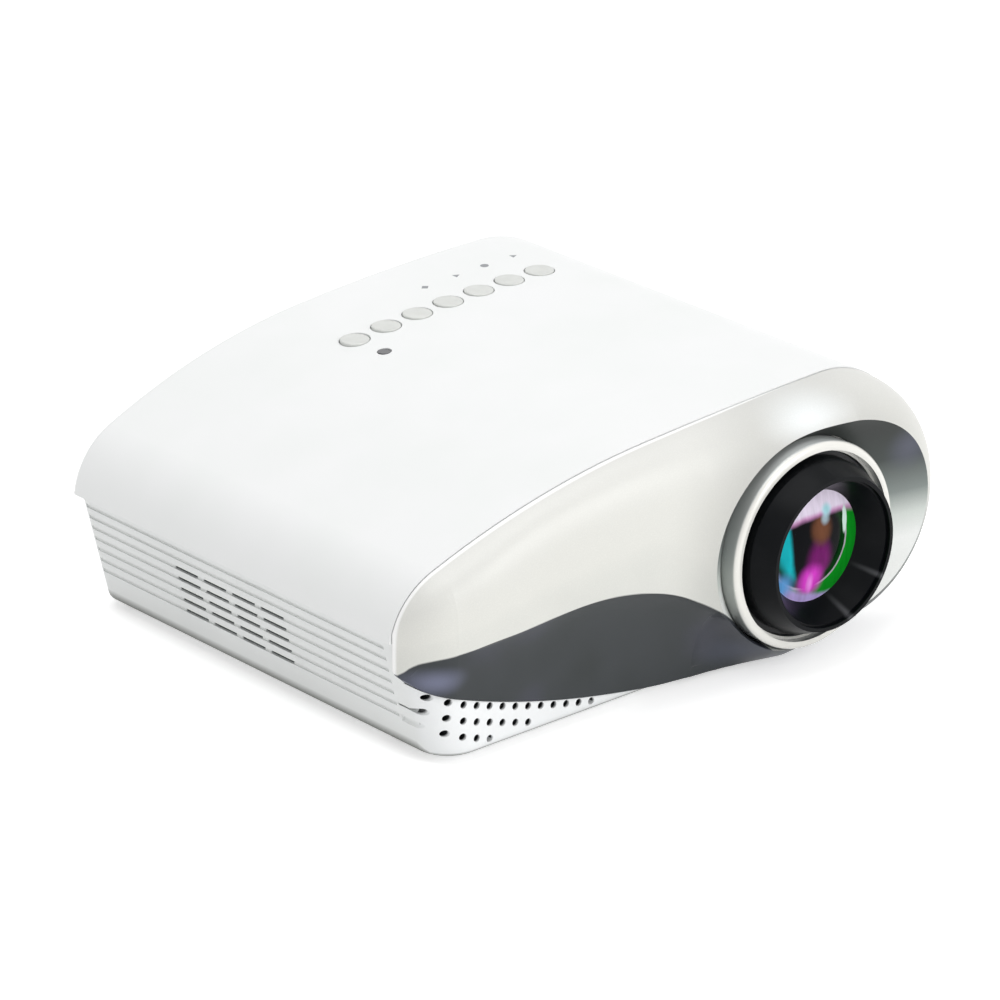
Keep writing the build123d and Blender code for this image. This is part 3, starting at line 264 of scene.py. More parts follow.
@dataclass(frozen=True)
class MouldedPlastic(Finish):
    """Injection-moulded plastic: an even body colour with slight blotches and the grain of its mould.

    Attributes:
        colour: body colour.
        shade_colour: slightly darker tone of the blotches.
        roughness: mean roughness of the skin.
        spread: share of the mean by which the roughness wanders to either side.
        grain_mm: size of the mould grain, drawn coarse enough to show.
        grain_depth: strength of the grain's relief.
        blotch_mm: size of the tone blotches.
        gloss_coat: weight of the clear gloss on top.
        glow: share of light that passes through a thin wall.
        glow_mm: how deep that light goes.
    """

    colour: str = "#F2F4F3"
    shade_colour: str = "#ECEFEE"
    roughness: float = 0.3
    spread: float = 0.12
    grain_mm: float = 0.5
    grain_depth: float = 0.05
    blotch_mm: float = 30.0
    gloss_coat: float = 0.0
    glow: float = 0.0
    glow_mm: float = 2.0

    def tone(self, skin: Skin) -> Feed:
        """Paint the body colour with its blotches and return the node."""
        blotch = skin.add("TexNoise", {"Vector": skin.place, "Scale": per(self.blotch_mm), "Detail": 2.0})
        return skin.add("ValToRGB", {"Fac": blotch}, stops=((0.35, self.colour), (0.7, self.shade_colour)))

    def shade(self, skin: Skin) -> bpy.types.Node:
        """Build the shader and return its last node."""
        grain = skin.add("TexNoise", {"Vector": skin.place, "Scale": per(self.grain_mm), "Detail": 3.0})
        depth = self.grain_mm * MM / 4
        relief = skin.add("Bump", {"Height": grain, "Strength": self.grain_depth, "Distance": depth})
        low, high = self.roughness * (1 - self.spread), self.roughness * (1 + self.spread)
        rough = skin.add("MapRange", {"Value": grain, "To Min": low, "To Max": high})
        return skin.add("BsdfPrincipled", {
            "Base Color": self.tone(skin), "Roughness": rough, "Normal": relief, "IOR": 1.53,
            "Coat Weight": self.gloss_coat, "Coat Roughness": 0.12,
            "Subsurface Weight": self.glow, "Subsurface Radius": (self.glow_mm * MM,) * 3,
        })


@dataclass(frozen=True)
class VentedPlastic(MouldedPlastic):
    """Plastic of the base, with painted light on its front and painted shade on its lower edge and in its
    slots and holes.

    Attributes:
        front_light_colour: painted light of the front, which catches more light than the sides.
        front_light_share: how much of that painted light is laid over the body's own colour.
        turn_mm: width over which the front's looks come on at the corner.
        edge_shade_colour: painted shade of the lower edge, a painted reflection of the dark under the case.
        edge_mm: how high that dark reaches up the side walls and up the front.
        edge_full: share of that height that is fully dark.
        floor_mm: height just above the underside, which stays pale.
        slot_shade_colour: painted shade inside the air slots.
        slot_sunk_mm: depths in the slots between which it comes on.
        slot_reach_mm: lowest and highest Y and Z that the slots reach.
        wall_mm: outside of the leaning side wall, as its X at a height of 0, and its lean.
        hole_shade_colour: painted shade inside the sound holes.
        hole_sunk_mm: depths in the holes between which it goes off.
        corner_mm: place in X, at a height of 0, and Y of the axis that the front corner is rounded about.
        corner_radius_mm: radius of that corner.
        holes_ahead_mm: how far in front of that axis the holes begin.
        holes_low_mm: height below which there are none.
        holes_end_mm: X beyond which there are none, and the silver tongue shows in the bezel.
        tongue_mm: how far in front of the corner's axis the tongue begins.
        tongue_top_mm: height of the tongue.
        tongue_stops: silver of the tongue by its height.
    """

    front_light_colour: str = "#FBFDFE"
    front_light_share: float = 0.8
    turn_mm: float = 4.0
    edge_shade_colour: str = "#5E625A"
    edge_mm: tuple[float, float] = (4.0, 1.7)
    edge_full: float = 0.3
    floor_mm: float = 2.06
    slot_shade_colour: str = "#8A8F90"
    slot_sunk_mm: tuple[float, float] = (0.85, 1.0)
    slot_reach_mm: tuple[tuple[float, float], tuple[float, float]] = ((-5.0, 46.0), (11.4, 28.2))
    wall_mm: tuple[float, float] = (-85.9, 0.2486)
    hole_shade_colour: str = "#1A1C1E"
    hole_sunk_mm: tuple[float, float] = (0.9, 0.3)
    corner_mm: tuple[float, float] = (-74.6, -55.7)
    corner_radius_mm: float = 11.0
    holes_ahead_mm: float = 2.0
    holes_low_mm: float = 5.0
    holes_end_mm: float = 60.0
    tongue_mm: float = 6.5
    tongue_top_mm: float = 32.0
    tongue_stops: Stops = ((0.0, "#4C5052"), (0.35, "#7C8080"), (1.0, "#CFCFCA"))

    def tone(self, skin: Skin) -> Feed:
        """Paint the body colour, the painted light of the front, the painted shade of the lower edge, slots
        and holes, and the tongue.
        """
        ahead = skin.add("Math", {0: self.corner_mm[1] * MM, 1: skin.y}, operation="SUBTRACT")
        lean = skin.add("Math", {0: skin.z, 1: self.wall_mm[1]}, operation="MULTIPLY")
        level = skin.add("Math", {0: skin.x, 1: lean}, operation="ADD")
        turned = skin.add("MapRange", {"Value": ahead, "From Max": self.turn_mm * MM})
        lit = skin.add("Math", {0: turned, 1: self.front_light_share}, operation="MULTIPLY")
        tongue = skin.limited(1.0, ((skin.x, self.holes_end_mm, None), (ahead, self.tongue_mm, None)))
        height = skin.add("MapRange", {"Value": skin.z, "From Max": self.tongue_top_mm * MM})
        silver = skin.add("ValToRGB", {"Fac": height}, stops=self.tongue_stops)
        # Painted light on the front; painted shade on the lower edge, in the slots and in the holes
        return skin.overlay(super().tone(skin), (
            (lit, self.front_light_colour),
            (self.edge_shade_share(skin, turned), self.edge_shade_colour),
            (self.slot_shade_share(skin, level), self.slot_shade_colour),
            (self.hole_shade_share(skin, level, ahead), self.hole_shade_colour),
            (tongue, silver),
        ))

    def edge_shade_share(self, skin: Skin, turned: Feed) -> Feed:
        """Work out the painted shade of the lower edge.

        Args:
            skin: canvas of the base.
            turned: 0 at the sides and 1 on the front.

        Returns:
            A node that is 1 along the edge and 0 elsewhere.
        """
        side, front = (height * MM for height in self.edge_mm)
        top = skin.add("MapRange", {"Value": turned, "To Min": side, "To Max": front})
        rise = skin.add("Math", {0: skin.z, 1: self.floor_mm * MM}, operation="SUBTRACT")
        climb = skin.add("Math", {0: rise, 1: top}, operation="DIVIDE")
        ends = {"From Min": self.edge_full, "To Min": 1.0, "To Max": 0.0}
        fade = skin.add("MapRange", {"Value": climb, **ends})
        return skin.limited(fade, ((rise, 0.0, None),))

    def slot_shade_share(self, skin: Skin, level: Feed) -> Feed:
        """Work out the painted shade inside the air slots.

        Args:
            skin: canvas of the base.
            level: X of each point with the lean of the side wall taken out.

        Returns:
            A node that is 1 in the slots and 0 elsewhere.
        """
        start, full = ((self.wall_mm[0] + depth) * MM for depth in self.slot_sunk_mm)
        deep = skin.add("MapRange", {"Value": level, "From Min": start, "From Max": full})
        along, up = self.slot_reach_mm
        return skin.limited(deep, ((skin.x, None, 0.0), (skin.y, *along), (skin.z, *up)))

    def hole_shade_share(self, skin: Skin, level: Feed, ahead: Feed) -> Feed:
        """Work out the painted shade inside the sound holes.

        Args:
            skin: canvas of the base.
            level: X of each point with the lean of the side wall taken out.
            ahead: how far each point lies in front of the corner's axis.

        Returns:
            A node that is 1 in the holes and 0 elsewhere.
        """
        left = skin.add("Math", {0: self.corner_mm[0] * MM, 1: level}, operation="SUBTRACT")
        aside = skin.add("Math", {0: left, 1: 0.0}, operation="MAXIMUM")
        before = skin.add("Math", {0: ahead, 1: 0.0}, operation="MAXIMUM")
        plan = skin.add("CombineXYZ", {"X": aside, "Y": before})
        reach = skin.add("VectorMath", {0: plan}, operation="LENGTH")
        full, none = ((self.corner_radius_mm - depth) * MM for depth in self.hole_sunk_mm)
        ends = {"From Min": full, "From Max": none, "To Min": 1.0, "To Max": 0.0}
        sunk = skin.add("MapRange", {"Value": reach, **ends})
        return skin.limited(sunk, (
            (ahead, self.holes_ahead_mm, None),
            (skin.x, None, self.holes_end_mm),
            (skin.z, self.holes_low_mm, None),
        ))


@dataclass(frozen=True)
class SilverLacquer(Finish):
    """Pearl silver lacquer with painted light and shade: light where it faces up or ahead, painted dark on
    the belly below the crease.

    Attributes:
        crease_mm: points of the crease in the front view as X and Z.
        half_width_mm: half the width of the case, the reach of the crease's curve.
        tall_mm: height that the crease's curve and the bowl's painted shade are measured against.
        blend_mm: width over which the two tones meet.
        lens_mm: place of the lens axis in X and Z.
        ring_shade_mm: distances from that axis between which the plate's painted shade darkens towards the
            ring.
        ring_shade_tone: how dark that painted shade gets there.
        bowl_lean: leans towards that axis between which the bowl begins.
        seam_mm: depth of the seam with the cover at the middle, and how much less it is at either side.
        lip_highlight_mm: distances in front of the seam between which the painted highlight on the lip ends.
        plate_sheen: middle and reach of the painted highlight above the bowl.
        bowl_sheen: middle and reach of the painted violet reflection in the bowl.
        left_sheen: middle and reach of the painted violet sheen at the belly's left end.
        right_sheen: middle and reach of the painted faint sheen at the belly's right end.
        plate_shade_stops: painted light and shade of the plate, from facing down to facing up.
        belly_shade_stops: painted dark reflection on the belly, in slow clouds.
        bowl_shade_stops: painted shade of the bowl, from the table up.
        wave_mm: size of the slow clouds.
        sway: how far the clouds shift the plate's tones.
        flake_mm: size of the metal flakes, drawn coarser than the real ones so that they show.
        sparkle: how much a flake lightens or darkens the lacquer.
    """

    crease_mm: tuple[tuple[float, float], ...] = (
        (-96.7, 27.0), (-94.6, 29.6), (-93.0, 31.8), (-91.0, 33.0), (-83.3, 34.3), (-71.1, 35.3),
        (-58.5, 36.8), (-46.0, 38.2), (-33.2, 39.0), (-24.8, 38.3), (-19.7, 37.3), (-12.0, 35.0),
        (-3.1, 30.6), (5.6, 25.0), (14.8, 18.0), (23.8, 11.0), (30.0, 0.0), (96.7, 0.0),
    )
    half_width_mm: float = 96.7
    tall_mm: float = 80.0
    blend_mm: float = 0.5
    lens_mm: tuple[float, float] = (39.9, 36.2)
    ring_shade_mm: tuple[float, float] = (58.0, 31.0)
    ring_shade_tone: float = 0.78
    bowl_lean: tuple[float, float] = (0.03, -0.02)
    seam_mm: tuple[float, float] = (62.7, 7.0)
    lip_highlight_mm: tuple[float, float] = (1.6, 0.8)
    plate_sheen: Patch = ((42.0, -70.0, 73.0), (21.0, 30.0, 8.3))
    bowl_sheen: Patch = ((80.0, -66.0, 56.0), (11.0, 24.0, 11.0))
    left_sheen: Patch = ((-88.0, -63.0, 27.0), (11.0, 22.0, 5.5))
    right_sheen: Patch = ((20.0, -66.0, 9.0), (17.0, 28.0, 8.0))
    plate_shade_stops: Stops = (
        (0.0, "#5B5F6C"), (0.25, "#4C514D"), (0.36, "#7A817D"), (0.45, "#CDCFCA"), (0.52, "#E3E3DD"),
        (0.68, "#DFDFDA"), (1.0, "#E2E2DE"),
    )
    belly_shade_stops: Stops = ((0.3, "#2C3132"), (0.55, "#33373A"), (0.75, "#3D3F49"))
    bowl_shade_stops: Stops = (
        (0.0, "#E2E4E0"), (0.34, "#EEF0EE"), (0.43, "#D0D6D1"), (0.52, "#838B88"), (0.66, "#3E4442"),
        (0.80, "#272B29"), (1.0, "#1E2120"),
    )
    wave_mm: float = 24.0
    sway: float = 0.05
    flake_mm: float = 0.35
    sparkle: float = 0.03

    def sheen(self, skin: Skin, patch: Patch) -> Feed:
        """Work out a soft round patch of painted sheen.

        Args:
            skin: canvas of the lacquer.
            patch: its middle and how far it spreads along X, Y and Z, in millimetres.

        Returns:
            A node that is 1 in the middle and 0 at the end of its reach.
        """
        middle, reach = patch
        return skin.patch(skin.place, tuple(c * MM for c in middle), tuple(per(r) for r in reach))

    def bowl_and_ring_shade(self, skin: Skin) -> tuple[Feed, Feed]:
        """Work out the bowl round the lens, and the painted shade by which the ring darkens the plate.

        Args:
            skin: canvas of the lacquer.

        Returns:
            A node that is 1 in the bowl and 0 outside it, and one that falls from 1 to the tone of the
            painted shade.
        """
        centre = (self.lens_mm[0] * MM, 0.0, self.lens_mm[1] * MM)
        flat = skin.add("VectorMath", {0: skin.place, 1: (1.0, 0.0, 1.0)}, operation="MULTIPLY")
        away = skin.add("VectorMath", {0: flat, 1: centre}, operation="SUBTRACT")
        outward = skin.add("VectorMath", {0: away}, operation="NORMALIZE")
        lean = skin.add("VectorMath", {0: outward, 1: skin.facing}, operation="DOT_PRODUCT")
        reach = skin.add("VectorMath", {0: away}, operation="LENGTH")
        near = skin.soft_step(reach, *(r * MM for r in self.ring_shade_mm))
        shade = skin.add("MapRange", {"Value": near, "To Min": 1.0, "To Max": self.ring_shade_tone})
        return skin.soft_step(lean, *self.bowl_lean), shade

    def lip_highlight_share(self, skin: Skin) -> Feed:
        """Work out the painted highlight on the rounded lip along the seam with the cover.

        Args:
            skin: canvas of the lacquer.

        Returns:
            A node that is 1 on the lip and 0 elsewhere.
        """
        share = skin.add("Math", {0: skin.x, 1: per(self.half_width_mm)}, operation="MULTIPLY")
        square = skin.add("Math", {0: share, 1: share}, operation="MULTIPLY")
        drop = skin.add("Math", {0: square, 1: self.seam_mm[1] * MM}, operation="MULTIPLY")
        depth = skin.add("Math", {0: self.seam_mm[0] * MM, 1: drop}, operation="SUBTRACT")
        past = skin.add("Math", {0: skin.y, 1: depth}, operation="ADD")
        return skin.soft_step(past, *(-ahead * MM for ahead in self.lip_highlight_mm))

    def crease_share(self, skin: Skin) -> Feed:
        """Work out what lies below the crease.

        Args:
            skin: canvas of the lacquer.

        Returns:
            A node that is 1 below the crease and 0 above it.
        """
        reach = self.half_width_mm * MM
        across = skin.add("MapRange", {"Value": skin.x, "From Min": -reach, "From Max": reach})
        line = skin.add("FloatCurve", {"Value": across})
        points = line.mapping.curves[0].points
        while len(points) < len(self.crease_mm):
            points.new(0.5, 0.5)
        for point, (x, z) in zip(points, self.crease_mm):
            point.location = (0.5 + 0.5 * x / self.half_width_mm, z / self.tall_mm)
        line.mapping.update()
        level = skin.add("Math", {0: line, 1: self.tall_mm * MM}, operation="MULTIPLY")
        below = skin.add("Math", {0: level, 1: skin.z}, operation="SUBTRACT")
        blend = self.blend_mm * MM / 2
        return skin.add("MapRange", {"Value": below, "From Min": -blend, "From Max": blend})

    def shade(self, skin: Skin) -> bpy.types.Node:
        """Build the shader and return its last node."""
        wave = skin.add("TexNoise", {"Vector": skin.place, "Scale": per(self.wave_mm), "Detail": 1.0})
        sway = skin.add("MapRange", {"Value": wave, "To Min": -self.sway, "To Max": self.sway})
        # Painted light and shade: the plate is toned by how far it faces up and darkened near the ring
        facing = skin.add("SeparateXYZ", {"Vector": skin.facing})
        turn = skin.add("Math", {0: facing.outputs["Z"], 1: sway}, operation="ADD")
        half = skin.add("MapRange", {"Value": turn, "From Min": -1.0, "From Max": 1.0})
        plate = skin.add("ValToRGB", {"Fac": half}, stops=self.plate_shade_stops)
        in_bowl, near = self.bowl_and_ring_shade(skin)
        shaded = skin.add("VectorMath", {0: plate, "Scale": near}, operation="SCALE")
        # Painted shade of the bowl by height
        height = skin.add("MapRange", {"Value": skin.z, "From Min": 0.0, "From Max": self.tall_mm * MM})
        bowl = skin.add("ValToRGB", {"Fac": height}, stops=self.bowl_shade_stops)
        # Painted dark reflection on the belly below the crease
        belly = skin.add("ValToRGB", {"Fac": wave}, stops=self.belly_shade_stops)
        # Painted highlights above the bowl and on the lip, a painted violet reflection in the bowl and
        # painted sheens on the belly
        toned = skin.overlay(shaded, (
            (self.sheen(skin, self.plate_sheen), "#F0F3F3"),
            (self.lip_highlight_share(skin), "#FFFFFE"),
            (in_bowl, skin.overlay(bowl, ((self.sheen(skin, self.bowl_sheen), "#66687C"),))),
            (self.crease_share(skin), skin.overlay(belly, (
                (self.sheen(skin, self.left_sheen), "#70748A"),
                (self.sheen(skin, self.right_sheen), "#4B4F5D"),
            ))),
        ))
        flakes = skin.add("TexVoronoi", {"Vector": skin.place, "Scale": per(self.flake_mm)})
        dim, bright = 1 - self.sparkle, 1 + self.sparkle
        sparkle = skin.add("MapRange", {"Value": flakes, "To Min": dim, "To Max": bright})
        return skin.add("BsdfPrincipled", {
            "Base Color": skin.add("VectorMath", {0: toned, "Scale": sparkle}, operation="SCALE"),
            "Metallic": 0.05, "Roughness": 0.42, "Specular IOR Level": 0.3,
            "Coat Weight": 0.08, "Coat Roughness": 0.25,
        })


@dataclass(frozen=True)
class PlatedRing(Finish):
    """Satin silver plating on plastic with painted light and shade: cream white where it looks ahead, grey
    on walls that look aside.

    Attributes:
        axis_height_mm: height of the lens axis.
        radius_mm: outer radius of the ring.
        wall_shade_stops: painted shade of the walls, from the ring's foot to its top.
        face_light_colour: painted light on what looks ahead.
        face_turn: turns ahead between which that colour comes on.
        grain_mm: size of the satin grain, drawn coarse enough to show.
    """

    axis_height_mm: float = 36.2
    radius_mm: float = 31.0
    wall_shade_stops: Stops = (
        (0.0, "#8A8E90"), (0.35, "#A2A6A2"), (0.62, "#BABEBC"), (0.85, "#C9CDCB"), (1.0, "#C2C6C5"),
    )
    face_light_colour: str = "#EFEEE8"
    face_turn: tuple[float, float] = (0.15, 0.6)
    grain_mm: float = 0.9

    def shade(self, skin: Skin) -> bpy.types.Node:
        """Build the shader and return its last node."""
        facing = skin.add("SeparateXYZ", {"Vector": skin.facing})
        ahead = skin.add("Math", {0: facing.outputs["Y"], 1: -1.0}, operation="MULTIPLY")
        low, high = ((self.axis_height_mm + side * self.radius_mm) * MM for side in (-1, 1))
        height = skin.add("MapRange", {"Value": skin.z, "From Min": low, "From Max": high})
        # Painted shade on the walls by height, under painted light where the ring looks ahead
        wall = skin.add("ValToRGB", {"Fac": height}, stops=self.wall_shade_stops)
        tone = skin.overlay(wall, ((skin.soft_step(ahead, *self.face_turn), self.face_light_colour),))
        grain = skin.add("TexNoise", {"Vector": skin.place, "Scale": per(self.grain_mm), "Detail": 2.0})
        rough = skin.add("MapRange", {"Value": grain, "To Min": 0.2, "To Max": 0.3})
        return skin.add("BsdfPrincipled", {
            "Base Color": tone, "Metallic": 0.15, "Roughness": rough,
            "Coat Weight": 0.4, "Coat Roughness": 0.08,
        })


@dataclass(frozen=True)
class ThreadedMetal(Finish):
    """Metal with a screw thread cut along Z, drawn as ridges in the relief.

    Attributes:
        colour: colour of the metal.
        pitch_mm: pitch of the thread.
        smear_mm: size of the smears that the cutter leaves.
    """

    colour: str = "#C9CACB"
    pitch_mm: float = 1.0
    smear_mm: float = 0.5

    def shade(self, skin: Skin) -> bpy.types.Node:
        """Build the shader and return its last node."""
        turns = skin.add("Math", {0: skin.z, 1: per(self.pitch_mm)}, operation="MULTIPLY")
        ridge = skin.add("Math", {0: turns, 1: 1.0}, operation="PINGPONG")
        relief = skin.add("Bump", {"Height": ridge, "Strength": 0.9, "Distance": self.pitch_mm * MM / 2})
        smear = skin.add("TexNoise", {"Vector": skin.place, "Scale": per(self.smear_mm), "Detail": 2.0})
        rough = skin.add("MapRange", {"Value": smear, "To Min": 0.22, "To Max": 0.36})
        return skin.add("BsdfPrincipled", {
            "Base Color": self.colour, "Metallic": 1.0, "Roughness": rough, "Normal": relief,
        })


@dataclass(frozen=True)
class TurnedMetal(Finish):
    """Metal with fine turning marks round an axis, or brushed marks along one.

    Attributes:
        colour: colour of the metal.
        roughness: mean roughness.
        spread: factors of the mean between which the roughness wanders.
        marks_mm: pitch of the marks, drawn coarse enough to show.
        stretch: how the marks are drawn out along X, Y and Z.
    """

    colour: str = "#D9D7D1"
    roughness: float = 0.25
    spread: tuple[float, float] = (0.8, 1.25)
    marks_mm: float = 0.3
    stretch: Triple = (1.0, 1.0, 1.0)

    def shade(self, skin: Skin) -> bpy.types.Node:
        """Build the shader and return its last node."""
        drawn = skin.add("Mapping", {"Vector": skin.place, "Scale": self.stretch})
        marks = skin.add("TexNoise", {"Vector": drawn, "Scale": per(self.marks_mm), "Detail": 2.0})
        low, high = (self.roughness * factor for factor in self.spread)
        rough = skin.add("MapRange", {"Value": marks, "To Min": low, "To Max": high})
        relief = skin.add("Bump", {"Height": marks, "Strength": 0.1, "Distance": self.marks_mm * MM / 6})
        return skin.add("BsdfPrincipled", {
            "Base Color": self.colour, "Metallic": 1.0, "Roughness": rough, "Normal": relief,
        })


@dataclass(frozen=True)
class BarrelBlack(Finish):
    """Black gloss plastic of the lens barrel, with two painted pale reflections as streaks in the cone that
    point at the lens axis.

    Attributes:
        centre_mm: place of the lens axis in X and Z.
        streaks: angle round the axis and half width of each streak, in degrees.
        streak_reflection_colour: painted reflection in the middle of a streak.
        streak_reach_mm: radii between which the streaks show.
        cloud_stops: tones of the plastic's faint clouds.
        cloud_mm: size of those clouds.
        grain_mm: size of the grain, drawn coarse enough to show.
    """

    centre_mm: tuple[float, float] = (39.9, 36.2)
    streaks: tuple[tuple[float, float], ...] = ((-32.0, 3.5), (-72.0, 4.5))
    streak_reflection_colour: str = "#57585B"
    streak_reach_mm: tuple[float, float] = (16.5, 22.6)
    cloud_stops: Stops = ((0.3, "#07090C"), (0.8, "#0D0F12"))
    cloud_mm: float = 6.0
    grain_mm: float = 0.6

    def shade(self, skin: Skin) -> bpy.types.Node:
        """Build the shader and return its last node."""
        shift = (-self.centre_mm[0] * MM, 0.0, -self.centre_mm[1] * MM)
        moved = skin.add("Mapping", {"Vector": skin.place, "Location": shift})
        right, _, up = skin.add("SeparateXYZ", {"Vector": moved}).outputs
        angle = skin.add("Math", {0: up, 1: right}, operation="ARCTAN2")
        flat = skin.add("CombineXYZ", {"X": right, "Z": up})
        reach = skin.add("VectorMath", {0: flat}, operation="LENGTH")
        inner, outer = (r * MM for r in self.streak_reach_mm)
        rise = skin.add("MapRange", {"Value": reach, "From Min": inner, "From Max": outer})
        band = skin.limited(rise, ((reach, None, self.streak_reach_mm[1]),))
        wander = skin.add("TexNoise", {"Vector": skin.place, "Scale": per(self.cloud_mm), "Detail": 1.0})
        colour = skin.add("ValToRGB", {"Fac": wander}, stops=self.cloud_stops)
        # Painted reflections: pale streaks in the cone
        for middle, half in self.streaks:
            off = skin.add("Math", {0: angle, 1: math.radians(middle)}, operation="SUBTRACT")
            size = skin.add("Math", {0: off}, operation="ABSOLUTE")
            share = skin.soft_step(size, math.radians(half), 0.0)
            shown = skin.add("Math", {0: share, 1: band}, operation="MULTIPLY")
            colour = skin.overlay(colour, ((shown, self.streak_reflection_colour),))
        fine = skin.add("TexNoise", {"Vector": skin.place, "Scale": per(self.grain_mm), "Detail": 2.0})
        rough = skin.add("MapRange", {"Value": fine, "To Min": 0.3, "To Max": 0.4})
        return skin.add("BsdfPrincipled", {
            "Base Color": colour, "Roughness": rough, "IOR": 1.5, "Specular IOR Level": 0.1,
        })


@dataclass(frozen=True)
class Reflection:
    """A coloured reflection in the lens glass, in lens radii from the lens axis.

    Attributes:
        colour: its colour.
        full: distance from its middle at which it is full.
        none: distance at which it has gone.
        middle: its middle.
        squeeze: factors that distances from its middle are multiplied by.
    """

    colour: str
    full: float
    none: float
    middle: Triple
    squeeze: Triple = (1.0, 1.0, 1.0)


@dataclass(frozen=True)
class CoatedGlass(Finish):
    """Lens glass with painted reflections in its coatings: magenta below, green to the right, blue low on
    the left, pink on top.

    Attributes:
        centre_mm: place of the lens axis in X and Z.
        radius_mm: radius of the glass that shows.
        deep_shade_colour: painted shade of the dark glass, where the dark inside of the barrel shows
            through.
        reflections: what the coatings mirror, from the lowest up.
        wave: waves in a lens radius, which bend the reflections.
        bend: how far they bend them.
        wisp_turn: turn of the fine wisps in the reflections.
        wisp_scale: how fine the wisps are across and along.
    """

    centre_mm: tuple[float, float] = (39.9, 36.2)
    radius_mm: float = 16.6
    deep_shade_colour: str = "#04050A"
    reflections: tuple[Reflection, ...] = (
        Reflection("#6E0F63", 0.20, 0.58, (0.02, 0.0, -0.26), (1.5, 1.0, 1.0)),
        Reflection("#12B9C4", 0.97, 0.86, (0.30, 0.0, 0.50), (1.0, 1.0, 0.45)),
        Reflection("#0A3A12", 0.80, 0.62, (-0.16, 0.0, 0.15)),
        Reflection("#B7B0BC", 0.850, 0.825, (-0.16, 0.0, 0.15)),
        Reflection("#0C8A1E", 0.89, 0.86, (-0.16, 0.0, 0.15)),
        Reflection("#D63CC8", 0.14, 0.46, (-0.16, 0.0, -0.58), (1.2, 1.0, 1.1)),
        Reflection("#F08BEA", 0.02, 0.20, (-0.16, 0.0, -0.64), (1.9, 1.0, 0.7)),
        Reflection("#B9A6E0", 1.10, 0.98, (0.50, 0.0, 0.10), (0.7, 1.0, 1.0)),
        Reflection("#62A6E4", 0.06, 0.34, (-0.78, 0.0, -0.56)),
        Reflection("#70452E", 0.10, 0.32, (0.06, 0.0, 0.34), (1.0, 1.0, 0.8)),
        Reflection("#9FB4C0", 0.03, 0.15, (0.16, 0.0, 0.50)),
        Reflection("#C98FC0", 1.03, 0.92, (0.0, 0.0, -0.40), (0.55, 1.0, 1.0)),
        Reflection("#E8DDF0", 1.09, 0.99, (0.0, 0.0, -0.40), (0.55, 1.0, 1.0)),
        Reflection("#A9DCE6", 0.04, 0.16, (0.20, 0.0, 0.64)),
        Reflection("#D8F2E8", 0.13, 0.20, (0.66, 0.0, 0.34), (2.6, 1.0, 0.7)),
    )
    wave: float = 2.6
    bend: float = 0.07
    wisp_turn: float = -0.35
    wisp_scale: tuple[float, float] = (9.0, 1.6)

    def shade(self, skin: Skin) -> bpy.types.Node:
        """Build the shader and return its last node."""
        shift = (-self.centre_mm[0] / self.radius_mm, 0.0, -self.centre_mm[1] / self.radius_mm)
        size = per(self.radius_mm)
        unit = skin.add("Mapping", {"Vector": skin.place, "Location": shift, "Scale": (size, 0.0, size)})
        wave = skin.add("TexNoise", {"Vector": unit, "Scale": self.wave, "Detail": 2.0}).outputs["Color"]
        even = skin.add("VectorMath", {0: wave, 1: (0.5, 0.5, 0.5)}, operation="SUBTRACT")
        bend = skin.add("VectorMath", {0: even, "Scale": self.bend}, operation="SCALE")
        spot = skin.add("VectorMath", {0: unit, 1: bend}, operation="ADD")
        # Painted reflections in the coatings, laid over the glass's painted shade
        layer = self.deep_shade_colour
        for seen in self.reflections:
            share = skin.patch(spot, seen.middle, seen.squeeze, seen.none, seen.full)
            layer = skin.overlay(layer, ((share, seen.colour),))
        across, along = self.wisp_scale
        turned = {"Rotation": (0.0, self.wisp_turn, 0.0), "Scale": (across, 1.0, along)}
        wisps = skin.add("TexNoise", {
            "Vector": skin.add("Mapping", {"Vector": spot, **turned}), "Scale": 1.0, "Detail": 2.0,
        })
        ends = {"From Min": 0.3, "From Max": 0.7, "To Min": 0.86, "To Max": 1.08}
        depth = skin.add("MapRange", {"Value": wisps, **ends})
        return skin.add("BsdfPrincipled", {
            "Base Color": skin.add("VectorMath", {0: layer, "Scale": depth}, operation="SCALE"),
            "Roughness": 0.08, "IOR": 1.62, "Specular IOR Level": 0.04,
        })


@dataclass(frozen=True)
class ClearResin(Finish):
    """Clear glass or acrylic of the light path.

    Attributes:
        colour: tint of the light that passes.
        roughness: mean roughness of the polish.
        spread: factors of the mean between which the roughness wanders.
        haze_mm: size of the faint haze on it.
    """

    colour: str = "#E8F0EF"
    roughness: float = 0.05
    spread: tuple[float, float] = (0.6, 1.6)
    haze_mm: float = 3.0

    def shade(self, skin: Skin) -> bpy.types.Node:
        """Build the shader and return its last node."""
        haze = skin.add("TexNoise", {"Vector": skin.place, "Scale": per(self.haze_mm), "Detail": 2.0})
        low, high = (self.roughness * factor for factor in self.spread)
        rough = skin.add("MapRange", {"Value": haze, "To Min": low, "To Max": high})
        return skin.add("BsdfPrincipled", {
            "Base Color": self.colour, "Roughness": rough, "IOR": 1.49, "Transmission Weight": 0.9,
        })


@dataclass(frozen=True)
class BoardLaminate(Finish):
    """Glass-fibre board under solder mask, with copper tracks that show as paler lines.

    Attributes:
        mask: colour of the solder mask.
        track: colour over the copper.
        pitch_mm: pitch of the tracks.
        run_pitches: length of a track, in pitches.
    """

    mask: str = "#0F4A2A"
    track: str = "#2C7A48"
    pitch_mm: float = 1.6
    run_pitches: int = 9

    def shade(self, skin: Skin) -> bpy.types.Node:
        """Build the shader and return its last node."""
        pitch = self.pitch_mm * MM
        cells = skin.add("TexBrick", {
            "Vector": skin.place, "Color1": self.track, "Color2": self.mask, "Mortar": self.mask,
            "Scale": 1.0, "Mortar Size": pitch / 4,
            "Brick Width": pitch * self.run_pitches, "Row Height": pitch,
        })
        return skin.add("BsdfPrincipled", {"Base Color": cells, "Roughness": 0.35, "IOR": 1.5})


